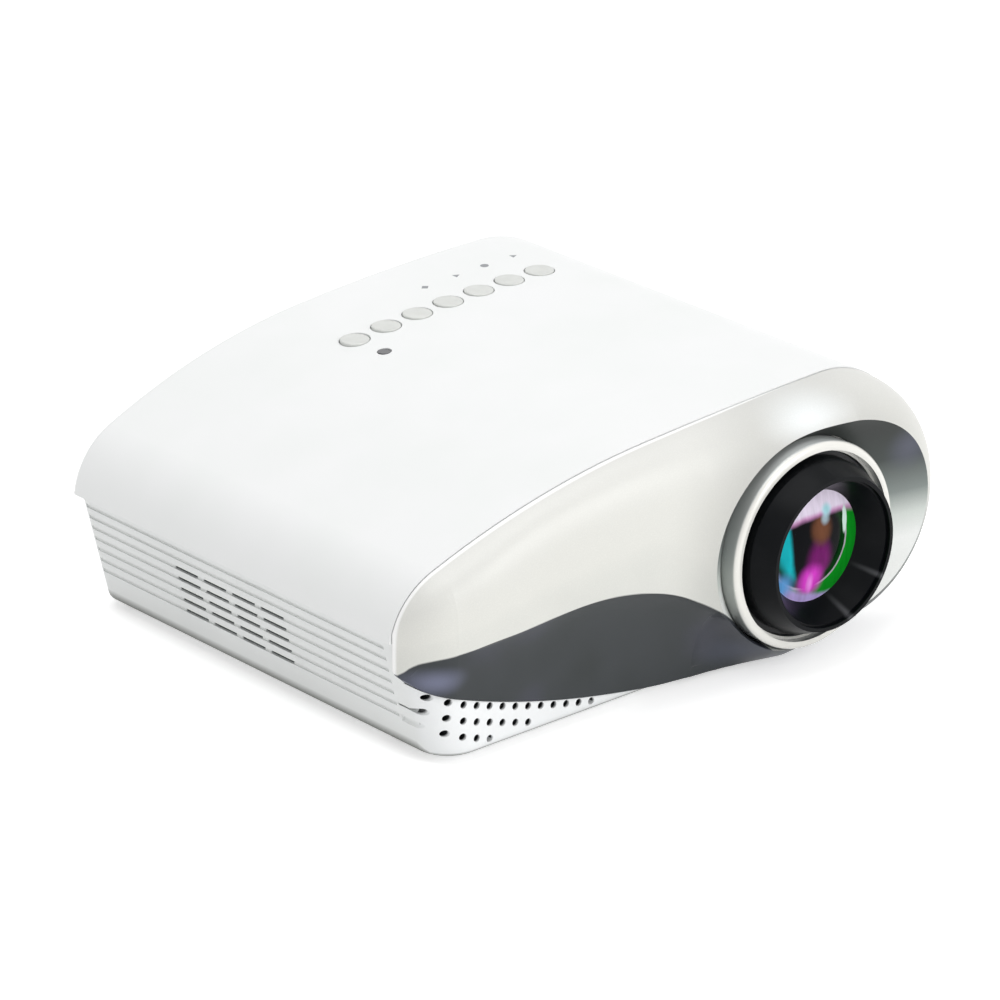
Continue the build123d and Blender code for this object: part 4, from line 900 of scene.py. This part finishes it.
@dataclass(frozen=True)
class FilterGauze(Finish):
    """Black nylon gauze behind the vents: crossing threads with painted shade in the gaps.

    Attributes:
        thread: colour of the threads.
        gap: painted shade between the threads, where the dark behind shows through.
        pitch_mm: spacing of the threads, drawn wider than the real 0.3 mm so that it shows.
    """

    thread: str = "#2B2D2F"
    gap: str = "#0E0F10"
    pitch_mm: float = 0.9

    def shade(self, skin: Skin) -> bpy.types.Node:
        """Build the shader and return its last node."""
        pitch = self.pitch_mm * MM
        scaled = skin.add("VectorMath", {0: skin.place, "Scale": 1 / pitch}, operation="SCALE")
        across, deep, up = skin.add("SeparateXYZ", {"Vector": scaled}).outputs
        along = skin.add("Math", {0: across, 1: deep}, operation="ADD")
        warp = skin.add("Math", {0: along, 1: 0.5}, operation="PINGPONG")
        weft = skin.add("Math", {0: up, 1: 0.5}, operation="PINGPONG")
        over = skin.add("Math", {0: warp, 1: weft}, operation="MAXIMUM")
        # Painted shade in the gaps between the threads
        tone = skin.add("ValToRGB", {"Fac": over}, stops=((0.28, self.gap), (0.4, self.thread)))
        relief = skin.add("Bump", {"Height": over, "Strength": 0.5, "Distance": pitch / 3})
        return skin.add("BsdfPrincipled", {
            "Base Color": tone, "Roughness": 0.8, "Normal": relief, "IOR": 1.5,
        })


@dataclass(frozen=True)
class MatteTable(Finish):
    """Matte white table top, lifted to white where it is seen, and clear from below.

    Attributes:
        colour: colour of the table.
        lift: strength of the light that lifts it.
    """

    colour: str = "#F4F4F4"
    lift: float = 0.5

    def shade(self, skin: Skin) -> bpy.types.Node:
        """Build the shader and return its last node."""
        matte = skin.add("BsdfDiffuse", {"Color": self.colour})
        strength = skin.add("Math", {0: skin.seen(), 1: self.lift}, operation="MULTIPLY")
        glow = skin.add("Emission", {"Color": "#FFFFFF", "Strength": strength})
        top = skin.add("AddShader", {0: matte, 1: glow})
        below = skin.add("NewGeometry").outputs["Backfacing"]
        return skin.add("MixShader", {0: below, 1: top, 2: skin.add("BsdfTransparent")})


# Case skins and keys: soft-gloss and spark-textured ABS straight from the mould, even and slightly cool
COVER_WHITE = MouldedPlastic(
    "gloss_white_abs", colour="#F5F6F6", shade_colour="#F2F4F3", roughness=0.42, grain_mm=1.4,
    grain_depth=0.02, gloss_coat=0.06,
)
BASE_WHITE = VentedPlastic(
    "spark_textured_white_abs", colour="#F1F3F2", shade_colour="#EDEFEE", roughness=0.45, grain_mm=0.45,
    grain_depth=0.12,
)
BUTTON_GREY = MouldedPlastic(
    "translucent_grey_abs", colour="#DADCD8", shade_colour="#D2D4D0", roughness=0.3, grain_mm=0.8,
    grain_depth=0.03, blotch_mm=4.0, gloss_coat=0.3, glow=0.15,
)
MARK_GREY = MouldedPlastic(
    "grey_pad_printing_ink", colour="#9A9DA0", shade_colour="#929598", roughness=0.5, grain_mm=0.4
)
FRONT_SILVER = SilverLacquer("pearl_silver_lacquer")
RING_SILVER = PlatedRing("satin_silver_plated_abs")
BARREL_BLACK = BarrelBlack("gloss_black_barrel_abs")
# Glass, acrylic and the dark window: polished, with a faint haze that softens what they mirror
FRONT_GLASS = CoatedGlass("coated_optical_glass")
INNER_GLASS = ClearResin("polished_optical_glass")
ACRYLIC = ClearResin("clear_acrylic", colour="#EAF2F4", roughness=0.08)
WINDOW_DARK = MouldedPlastic(
    "smoked_infrared_window", colour="#3A3B40", shade_colour="#2E2F34", roughness=0.15, grain_mm=0.9,
    grain_depth=0.01, gloss_coat=0.5,
)
# Dull blacks of the inner frames, feet, speaker and screens, which swallow the light
BLACK_PLASTIC = MouldedPlastic(
    "black_textured_abs", colour="#1B1C1E", shade_colour="#151618", roughness=0.5, grain_depth=0.15
)
SOFT_RUBBER = MouldedPlastic(
    "black_moulded_rubber", colour="#232325", shade_colour="#1C1C1E", roughness=0.75, grain_mm=0.7,
    grain_depth=0.2,
)
PAPER_CONE = MouldedPlastic(
    "pressed_paper_cone", colour="#2B2A29", shade_colour="#211F1E", roughness=0.9, grain_mm=0.9,
    grain_depth=0.4,
)
GAUZE_BLACK = FilterGauze("black_nylon_gauze")
# Metals, with turning, drawing or thread marks that break up what they mirror
STEEL = TurnedMetal("nickel_plated_steel", colour="#C9CACB", roughness=0.28, marks_mm=0.4)
ALUMINIUM = TurnedMetal(
    "extruded_aluminium", colour="#D5D7D8", roughness=0.35, marks_mm=0.5, stretch=(1.0, 1.0, 0.08)
)
BRASS = TurnedMetal("turned_brass", colour="#D8B25A", marks_mm=0.35)
STUD_THREAD = ThreadedMetal("cut_thread_steel")
INSERT_THREAD = ThreadedMetal("cut_thread_brass", colour="#D8B25A", pitch_mm=1.27)
GOLD = TurnedMetal("gold_plated_contact", colour="#E7C56A", roughness=0.2)
# Boards and what sits on them, satin under their mask or film
CAN_SLEEVE = MouldedPlastic(
    "printed_sleeve_film", colour="#23305A", shade_colour="#1C274A", grain_mm=0.8, grain_depth=0.02
)
BOARD_GREEN = BoardLaminate("green_masked_laminate")
BOARD_WHITE = MouldedPlastic(
    "white_masked_aluminium_board", colour="#EDEEEB", shade_colour="#E4E5E2", roughness=0.4, grain_mm=0.6,
    grain_depth=0.04,
)
CONTACT_BLUE = MouldedPlastic(
    "blue_contact_carrier", colour="#24407F", shade_colour="#1F3770", roughness=0.45
)
PHOSPHOR = MouldedPlastic(
    "yellow_phosphor_ceramic", colour="#E9D26A", shade_colour="#E0C453", roughness=0.55, grain_mm=0.6,
    grain_depth=0.1,
)
# The table under the part, which keeps its shadow
TABLE_WHITE = MatteTable("matte_white_table")

NODE_FINISHES: dict[Finish, tuple[str, ...]] = {
    COVER_WHITE: ("top_cover",),
    BASE_WHITE: ("base_shell",),
    FRONT_SILVER: ("front_bezel",),
    RING_SILVER: ("lens_ring",),
    BARREL_BLACK: ("focus_ring", "lens_cell", "lens_spacer", "lens_retainer"),
    FRONT_GLASS: ("front_lens",),
    INNER_GLASS: ("rear_lens", "condenser_lens", "lcd_panel"),
    ACRYLIC: ("field_lens", "collimator_lens"),
    WINDOW_DARK: ("ir_window",),
    BLACK_PLASTIC: (
        "lens_holder", "engine_tray", "engine_lid", "condenser_holder", "fan_frame", "fan_rotor",
        "speaker_frame", "av_jack", "audio_jack", "dc_jack", "processor", "tact_switches", "ir_receiver",
        "foot_knob",
    ),
    SOFT_RUBBER: ("rear_feet", "foot_pad"),
    PAPER_CONE: ("speaker_cone",),
    PHOSPHOR: ("led_chip",),
    STEEL: (
        "usb_socket", "hdmi_socket", "vga_socket", "case_screws", "main_board_screws", "button_board_screws",
        "holder_screws", "engine_screws",
    ),
    STUD_THREAD: ("foot_stud",),
    INSERT_THREAD: ("tripod_insert",),
    ALUMINIUM: ("heat_sink", "processor_cooler"),
    BRASS: ("foot_nut",),
    CAN_SLEEVE: ("capacitors",),
    BOARD_GREEN: ("main_board", "button_board"),
    BOARD_WHITE: ("led_board",),
    BUTTON_GREY: (
        "power_button", "source_button", "menu_button", "left_button", "ok_button", "right_button",
        "back_button",
    ),
}


def dress(nodes: dict[str, bpy.types.Object], name: str, finish: Finish) -> None:
    """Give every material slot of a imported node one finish.

    Args:
        nodes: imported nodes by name.
        name: node to dress.
        finish: finish that it gets.
    """
    piece = nodes[name]
    made = finish.material()
    if not piece.material_slots:
        piece.data.materials.append(made)
    for place in piece.material_slots:
        place.material = made


def new_piece(
    name: str, shape: bmesh.types.BMesh, finish: Finish, body: str, smooth: bool = True
) -> None:
    """Turn a finished bmesh into a piece that rides on a body.

    Args:
        name: name of the piece.
        shape: bmesh in metres, in the part's own frame; it is freed.
        finish: finish of the whole piece.
        body: body that the piece rides on.
        smooth: whether faces are shaded smooth, but for sharp edges.
    """
    bmesh.ops.recalc_face_normals(shape, faces=shape.faces)
    if smooth:
        for face in shape.faces:
            face.smooth = True
        for edge in shape.edges:
            if len(edge.link_faces) == 2 and edge.calc_face_angle(0.0) > SHARP_EDGE:
                edge.smooth = False
    mesh = bpy.data.meshes.new(name)
    shape.to_mesh(mesh)
    shape.free()
    mesh.materials.append(finish.material())
    piece = bpy.data.objects.new(name, mesh)
    bpy.context.scene.collection.objects.link(piece)
    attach(piece, body)
    LOG.info("piece %s on %s", name, body)


def add_disc(
    shape: bmesh.types.BMesh, radius_mm: float, height_mm: float, place: Matrix, segments: int,
    rim_mm: float = 0.0,
) -> None:
    """Add an upright disc or prism to a bmesh.

    Args:
        shape: bmesh that gets the disc.
        radius_mm: radius of the disc.
        height_mm: height along its own Z.
        place: where its middle goes, in metres.
        segments: sides round the disc.
        rim_mm: width of the bevel on both rims.
    """
    radius = radius_mm * MM
    made = bmesh.ops.create_cone(
        shape, cap_ends=True, segments=segments, radius1=radius, radius2=radius, depth=height_mm * MM,
        matrix=place,
    )
    if rim_mm:
        edges = {e for v in made["verts"] for e in v.link_edges if len(e.link_faces) == 2}
        rims = [e for e in edges if any(len(f.verts) > 4 for f in e.link_faces)]
        bmesh.ops.bevel(
            shape, geom=rims, offset=rim_mm * MM, segments=3, profile=0.5, affect="EDGES", material=-1
        )


def add_block(shape: bmesh.types.BMesh, size_mm: Triple, place: Matrix) -> None:
    """Add a plain block to a bmesh.

    Args:
        shape: bmesh that gets the block.
        size_mm: size along its own X, Y and Z.
        place: where its middle goes, in metres.
    """
    sized = place @ Matrix.Diagonal((Vector(size_mm) * MM).to_4d())
    sized[3][3] = 1.0
    bmesh.ops.create_cube(shape, size=1.0, matrix=sized)


@dataclass(frozen=True)
class SoftBox:
    """A square soft light.

    Attributes:
        name: name of the light.
        place: where it hangs, in metres.
        aim: point that it shines at, in metres.
        size: length of its sides in metres.
        power: its power in watts.
    """

    name: str
    place: Triple
    aim: Triple
    size: float
    power: float

    def build(self) -> None:
        """Hang the light."""
        data = bpy.data.lights.new(self.name, "AREA")
        data.shape = "SQUARE"
        data.size = self.size
        data.energy = self.power
        lamp = bpy.data.objects.new(self.name, data)
        turn = (Vector(self.place) - Vector(self.aim)).to_track_quat("Z", "Y").to_matrix().to_4x4()
        lamp.matrix_world = Matrix.Translation(self.place) @ turn
        bpy.context.scene.collection.objects.link(lamp)


@dataclass(frozen=True)
class Studio:
    """White table, soft lights and the camera of the photograph.

    Attributes:
        eye: place of the camera in metres.
        right: the picture's right in the part's frame.
        up: the picture's up.
        back: from the object to the camera.
        lens_mm: focal length on the sensor.
        sensor_mm: width of the sensor.
        view_end: distance that the camera sees to, in metres.
        table_half: half the width of the table in metres.
        table_gap_mm: how far the table lies below the feet, so that the two don't coincide.
        boxes: a large light above and one ahead on the right.
        room_light: strength of the room's light.
    """

    eye: Triple = (-0.9663, -1.1017, 0.6432)
    right: Triple = (0.7547, -0.6561, 0.0)
    up: Triple = (0.2511, 0.2888, 0.9239)
    back: Triple = (-0.6061, -0.6973, 0.3827)
    lens_mm: float = 198.0
    sensor_mm: float = 36.0
    view_end: float = 50.0
    table_half: float = 4.0
    table_gap_mm: float = 0.1
    boxes: tuple[SoftBox, ...] = (
        SoftBox("overhead_box", (-0.2, 0.25, 1.7), (0.0, 0.0, 0.03), 1.5, 11.6),
        SoftBox("front_box", (0.5, -2.0, 1.1), (0.0, 0.0, 0.04), 1.6, 22.0),
    )
    room_light: float = 0.54

    def build(self) -> None:
        """Make the camera, the table, the lights and the world."""
        self.camera()
        self.table()
        for box in self.boxes:
            box.build()
        self.world()
        bpy.context.scene.view_settings.view_transform = "Standard"

    def camera(self) -> None:
        """Place the camera at the photograph's angle."""
        data = bpy.data.cameras.new("camera")
        data.lens = self.lens_mm
        data.sensor_width = self.sensor_mm
        data.clip_end = self.view_end
        camera = bpy.data.objects.new("camera", data)
        turn = Matrix((self.right, self.up, self.back)).transposed().to_4x4()
        camera.matrix_world = Matrix.Translation(self.eye) @ turn
        bpy.context.scene.collection.objects.link(camera)
        bpy.context.scene.camera = camera

    def table(self) -> None:
        """Lay a wide white table top that keeps the part's shadow."""
        shape = bmesh.new()
        bmesh.ops.create_grid(shape, x_segments=1, y_segments=1, size=self.table_half)
        mesh = bpy.data.meshes.new("table_top")
        shape.to_mesh(mesh)
        shape.free()
        mesh.materials.append(TABLE_WHITE.material())
        table = bpy.data.objects.new("table_top", mesh)
        table.location.z = -self.table_gap_mm * MM
        bpy.context.scene.collection.objects.link(table)

    def world(self) -> None:
        """Surround the scene with soft white light, seen as pure white."""
        world = bpy.data.worlds.new("white_room")
        world.use_nodes = True
        canvas = Canvas(world.node_tree)
        strength = canvas.add("MapRange", {"Value": canvas.seen(), "To Min": self.room_light, "To Max": 1.0})
        sky = canvas.add("Background", {"Color": "#FFFFFF", "Strength": strength})
        canvas.add("OutputWorld", {"Surface": sky})
        bpy.context.scene.world = world


class Glyph(Enum):
    """Plain marks printed behind the buttons, by their number of sides."""

    TRIANGLE = 3
    SQUARE = 4
    ROUND = 24


@dataclass(frozen=True)
class Keypad:
    """The buttons' printed marks on the cover.

    Attributes:
        marks: place in X and Y and the glyph of each mark, in millimetres.
        size_mm: radius of a mark.
        thick_mm: thickness of the ink, drawn thicker than the real one.
        above: height in metres from which the cover's skin is looked for.
    """

    marks: tuple[tuple[float, float, Glyph], ...] = (
        (19.8, 66.5, Glyph.SQUARE),
        (32.2, 66.8, Glyph.TRIANGLE),
        (43.7, 67.2, Glyph.ROUND),
        (55.4, 67.6, Glyph.TRIANGLE),
    )
    size_mm: float = 1.3
    thick_mm: float = 0.06
    above: float = 0.2

    def build(self, cover: bpy.types.Object) -> None:
        """Print the marks on the cover.

        Args:
            cover: the cover, which gives the height of its skin.
        """
        shape = bmesh.new()
        for x, y, glyph in self.marks:
            above = Vector((x * MM, y * MM, self.above))
            hit, point, normal, _ = cover.ray_cast(above, Vector((0.0, 0.0, -1.0)))
            if hit:
                place = Matrix.Translation(point) @ normal.to_track_quat("Z", "Y").to_matrix().to_4x4()
                add_disc(shape, self.size_mm, self.thick_mm, place, segments=glyph.value)
        new_piece("button_marks", shape, MARK_GREY, "case", smooth=False)


@dataclass(frozen=True)
class ScrewHeads:
    """Painted shade of the cross recesses in the heads of the case screws.

    Attributes:
        places: where the screws stand in X and Y, in millimetres.
        head_z: height of the heads' lower faces.
        bar_mm: size of one bar of a cross.
        turns: how the two bars are turned, in degrees.
    """

    places: tuple[tuple[float, float], ...] = ((-80.5, 79.0), (79.0, 79.0), (-80.5, -43.0), (79.0, -50.0))
    head_z: float = 14.0
    bar_mm: Triple = (3.2, 0.6, 0.12)
    turns: tuple[float, float] = (45.0, 135.0)

    def build(self) -> None:
        """Lay a dark cross of painted shade in each head."""
        shape = bmesh.new()
        for x, y in self.places:
            for turn in self.turns:
                middle = Matrix.Translation((x * MM, y * MM, self.head_z * MM))
                add_block(shape, self.bar_mm, middle @ Matrix.Rotation(math.radians(turn), 4, "Z"))
        new_piece("screw_cross_shade", shape, BLACK_PLASTIC, "case", smooth=False)


@dataclass(frozen=True)
class DustScreens:
    """Black gauze behind the sound holes of the front and the air slots of the side, in millimetres.

    Attributes:
        wall_foot_x: where the leaning side wall meets the underside.
        wall_lean: how far the side wall leans out for each millimetre of height.
        floor_z: height of the underside.
        wall: thickness of the walls, measured level.
        corner_y: where the front corner's round starts.
        corner_radius: radius of the gauze round the corner.
        corner_z: height at which the gauze's corner is measured.
        corner_steps: how many runs the gauze takes round the corner.
        brow: lower edge of the nose in the front view, as X and Z.
        brow_gap: how far the front gauze stays below it.
        straight_from: first point of the brow past the corner.
        foot_z: height of the front gauze's lower edge.
        least_height: least height of the front gauze.
        side_middle: Y and Z of the side gauze's middle.
        side_size: length and height of the side gauze.
        gap: space between the wall and the gauze.
        thick: thickness of the gauze.
    """

    wall_foot_x: float = -86.4
    wall_lean: float = 0.2486
    floor_z: float = 2.0
    wall: float = 2.27
    corner_y: float = -55.7
    corner_radius: float = 8.4
    corner_z: float = 15.0
    corner_steps: int = 6
    brow: tuple[tuple[float, float], ...] = (
        (-91.7, 24.9), (-82.6, 21.0), (-68.8, 16.3), (-54.9, 12.2), (-40.7, 8.7), (-26.4, 6.0),
    )
    brow_gap: float = 1.4
    straight_from: int = 2
    foot_z: float = 5.2
    least_height: float = 0.1
    side_middle: tuple[float, float] = (20.4, 19.8)
    side_size: tuple[float, float] = (57.0, 19.0)
    gap: float = 0.35
    thick: float = 0.2

    def brow_at(self, x: float) -> float:
        """Height of the nose's lower edge at x."""
        for (x0, z0), (x1, z1) in zip(self.brow, self.brow[1:]):
            if x <= x1:
                return z0 + (z1 - z0) * (x - x0) / (x1 - x0)
        return self.brow[-1][1]

    def wall_x(self, z: float) -> float:
        """Outside of the side wall at height z."""
        return self.wall_foot_x - self.wall_lean * (z - self.floor_z)

    def build(self) -> None:
        """Stretch both screens."""
        self.front_screen()
        self.side_screen()

    def edge_points(self, upper: bool) -> list[Triple]:
        """Follow an edge of the front screen round the corner and along the front.

        Args:
            upper: whether it is the upper edge.

        Returns:
            The points of the edge.
        """
        points = []
        corner_x = self.wall_x(self.corner_z)
        middle = corner_x + self.wall + self.gap + self.corner_radius
        for step in range(self.corner_steps + 1):
            turn = math.pi / 2 * (1 + (self.corner_steps - step) / self.corner_steps)
            reach = middle + self.corner_radius * math.cos(turn)
            height = self.brow_at(reach) - self.brow_gap if upper else self.foot_z
            depth = self.corner_y - self.corner_radius * math.sin(turn)
            points.append((reach + self.wall_x(height) - corner_x, depth, height))
        least = self.foot_z + self.least_height
        for x, _ in self.brow[self.straight_from :]:
            height = max(self.brow_at(x) - self.brow_gap, least) if upper else self.foot_z
            points.append((x, self.corner_y - self.corner_radius, height))
        return points

    def front_screen(self) -> None:
        """Stretch the screen behind the sound holes, round the left corner."""
        shape = bmesh.new()
        edges = []
        for upper in (False, True):
            row = [shape.verts.new(Vector(point) * MM) for point in self.edge_points(upper)]
            edges += [shape.edges.new(pair) for pair in zip(row, row[1:])]
        bmesh.ops.bridge_loops(shape, edges=edges)
        bmesh.ops.recalc_face_normals(shape, faces=shape.faces)
        bmesh.ops.solidify(shape, geom=shape.faces[:], thickness=self.thick * MM)
        new_piece("front_dust_screen", shape, GAUZE_BLACK, "case")

    def side_screen(self) -> None:
        """Stretch the leaning screen behind the air slots."""
        shape = bmesh.new()
        y, z = self.side_middle
        middle = Matrix.Translation(Vector((self.wall_x(z) + self.wall + self.gap, y, z)) * MM)
        lean = Matrix.Rotation(-math.atan(self.wall_lean), 4, "Y")
        add_block(shape, (self.thick, *self.side_size), middle @ lean)
        new_piece("side_dust_screen", shape, GAUZE_BLACK, "case", smooth=False)


@dataclass(frozen=True)
class Blades:
    """Gold blades on a socket's tongue, in millimetres.

    Attributes:
        name: name of the piece.
        x: middle of the socket.
        rise: height of the tongue's middle over the deck.
        lifts: height of each row over that middle.
        count: blades in a row.
        pitch: spacing of the blades.
        width: width of a blade.
        length: length of a blade.
        thick: thickness of a blade.
        sunk: how far the blades' ends lie inside the socket's face.
    """

    name: str
    x: float
    rise: float
    lifts: tuple[float, ...]
    count: int
    pitch: float
    width: float
    length: float
    thick: float = 0.12
    sunk: float = 1.8

    def build(self, face_y: float, deck_z: float) -> None:
        """Lay the blades.

        Args:
            face_y: where the socket's face stands.
            deck_z: height of the deck.
        """
        shape = bmesh.new()
        y = face_y - self.sunk - self.length / 2
        for lift in self.lifts:
            for i in range(self.count):
                x = self.x + (i - (self.count - 1) / 2) * self.pitch
                place = Matrix.Translation(Vector((x, y, deck_z + self.rise + lift)) * MM)
                add_block(shape, (self.width, self.length, self.thick), place)
        new_piece(self.name, shape, GOLD, "case", smooth=False)


@dataclass(frozen=True)
class RearContacts:
    """Contacts, pins and rings of the sockets on the back, in millimetres.

    Attributes:
        face_y: where the sockets' faces stand.
        deck_z: top of the main board.
        blades: blades of the flat socket and of the small video socket.
        vga_x: middle of the wide video socket.
        vga_rise: height of its middle over the deck.
        pin_rows: height of each row of pin holes over the middle.
        pins: pin holes in a row.
        pin_pitch: spacing of the pin holes.
        pin_shift: how far the middle row stands aside from the others.
        pin_size: radius and depth of a pin hole.
        pin_out: how far the middle of a pin hole stands out of the face.
        carrier: width, thickness and height of the blue carrier.
        carrier_round: radius of its corners.
        carrier_out: how far its middle stands out of the face.
        nut_x: how far the nuts stand aside of the middle.
        nut_size: radius and height of a nut.
        nut_out: how far its middle stands out of the face.
        bore_size: radius and height of the raised disc on it.
        bore_out: how far that disc's middle stands out of the face.
        jack_xs: middles of the round sockets.
        jack_rise: height of their middles over the deck.
        ring_out: how far the plated rings' zero stands out of the sockets.
        ring_profile: radius of the rings and how far they stand out of that zero.
        dc_x: middle of the power inlet.
        dc_rise: height of its middle over the deck.
        sleeve_size: radius and length of the sleeve on its pin.
        sleeve_sunk: how far the sleeve's middle lies inside the face.
        sleeve_rim: width of the bevel on the sleeve's rims.
    """

    face_y: float = 87.7
    deck_z: float = 10.6
    blades: tuple[Blades, ...] = (
        Blades("usb_contacts", -27.5, 3.65, (-1.0,), 4, 2.5, 1.3, 8.0),
        Blades("hdmi_contacts", -7.5, 3.0, (-0.66, 0.66), 9, 1.2, 0.6, 6.0),
    )
    vga_x: float = 18.0
    vga_rise: float = 6.25
    pin_rows: tuple[float, ...] = (2.0, 0.0, -2.0)
    pins: int = 5
    pin_pitch: float = 2.3
    pin_shift: float = 0.9
    pin_size: tuple[float, float] = (0.45, 0.06)
    pin_out: float = 0.13
    carrier: Triple = (14.2, 0.1, 6.8)
    carrier_round: float = 1.4
    carrier_out: float = 0.06
    nut_x: float = 12.5
    nut_size: tuple[float, float] = (2.5, 0.24)
    nut_out: float = 0.12
    bore_size: tuple[float, float] = (1.5, 0.04)
    bore_out: float = 0.25
    jack_xs: tuple[float, ...] = (-54.5, -42.5)
    jack_rise: float = 3.5
    ring_out: float = 0.04
    ring_profile: tuple[tuple[float, float], ...] = (
        (1.85, -0.4), (1.85, 0.0), (2.05, 0.12), (2.5, 0.12), (2.6, -0.02),
    )
    dc_x: float = -67.5
    dc_rise: float = 5.5
    sleeve_size: tuple[float, float] = (1.06, 7.4)
    sleeve_sunk: float = 4.6
    sleeve_rim: float = 0.3

    def at(self, x: float, out: float, rise: float) -> Matrix:
        """Place a disc or block so that its own Z looks out of the back.

        Args:
            x: its middle.
            out: how far its middle stands out of the sockets' faces.
            rise: its height over the deck.

        Returns:
            The place in metres.
        """
        middle = Vector((x, self.face_y + out, self.deck_z + rise)) * MM
        return Matrix.Translation(middle) @ Matrix.Rotation(math.radians(-90), 4, "X")

    def build(self) -> None:
        """Make the contacts of every socket."""
        for blades in self.blades:
            blades.build(self.face_y, self.deck_z)
        self.pin_holes()
        self.carrier_plate()
        self.nuts()
        self.jack_rings()
        self.power_sleeve()

    def pin_holes(self) -> None:
        """Draw the painted shade of the rows of pin holes of the wide socket."""
        shape = bmesh.new()
        for row, lift in enumerate(self.pin_rows):
            aside = (row % 2) * self.pin_shift - self.pin_shift / 2
            for i in range(self.pins):
                x = self.vga_x + (i - (self.pins - 1) / 2) * self.pin_pitch + aside
                add_disc(shape, *self.pin_size, self.at(x, self.pin_out, self.vga_rise + lift), segments=12)
        new_piece("vga_pin_hole_shade", shape, BLACK_PLASTIC, "case")

    def carrier_plate(self) -> None:
        """Fill the wide socket with its blue carrier."""
        shape = bmesh.new()
        middle = Vector((self.vga_x, self.face_y + self.carrier_out, self.deck_z + self.vga_rise))
        add_block(shape, self.carrier, Matrix.Translation(middle * MM))
        half = self.carrier[1] / 2
        uprights = [e for e in shape.edges if abs((e.verts[0].co - e.verts[1].co).y) > half * MM]
        bmesh.ops.bevel(
            shape, geom=uprights, offset=self.carrier_round * MM, segments=4, profile=0.5, affect="EDGES",
            material=-1,
        )
        new_piece("vga_contact_carrier", shape, CONTACT_BLUE, "case")

    def nuts(self) -> None:
        """Put the two hexagonal nuts beside the wide socket."""
        shape = bmesh.new()
        for x in (self.vga_x - self.nut_x, self.vga_x + self.nut_x):
            add_disc(shape, *self.nut_size, self.at(x, self.nut_out, self.vga_rise), segments=6)
            add_disc(shape, *self.bore_size, self.at(x, self.bore_out, self.vga_rise), segments=24)
        new_piece("vga_nuts", shape, STEEL, "case", smooth=False)

    def jack_rings(self) -> None:
        """Put a plated ring round the bore of each round socket."""
        shape = bmesh.new()
        for x in self.jack_xs:
            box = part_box("av_jack" if x == self.jack_xs[0] else "audio_jack")
            spot = Vector((x, box[1][1] / MM + self.ring_out, self.deck_z + self.jack_rise))
            profile = [shape.verts.new((spot + Vector((r, out, 0.0))) * MM) for r, out in self.ring_profile]
            edges = [shape.edges.new(pair) for pair in zip(profile, profile[1:])]
            bmesh.ops.spin(
                shape, geom=profile + edges, cent=spot * MM, axis=(0.0, 1.0, 0.0), angle=math.tau, steps=40,
                use_merge=True,
            )
        bmesh.ops.remove_doubles(shape, verts=shape.verts, dist=1e-6)
        new_piece("jack_rings", shape, STEEL, "case")

    def power_sleeve(self) -> None:
        """Sleeve the centre pin of the power inlet."""
        shape = bmesh.new()
        place = self.at(self.dc_x, -self.sleeve_sunk, self.dc_rise)
        add_disc(shape, *self.sleeve_size, place, segments=24, rim_mm=self.sleeve_rim)
        new_piece("power_pin_sleeve", shape, STEEL, "case")


def main() -> None:
    """Build the scene: frame, studio, finishes and the added pieces."""
    logging.basicConfig(level=logging.INFO)
    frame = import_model()
    nodes = frame["nodes"]
    Studio().build()
    for finish, names in NODE_FINISHES.items():
        for name in names:
            dress(nodes, name, finish)
            LOG.info("node %s in %s", name, finish.name)
    Keypad().build(nodes["top_cover"])
    ScrewHeads().build()
    DustScreens().build()
    RearContacts().build()


if __name__ == "__main__":
    main()
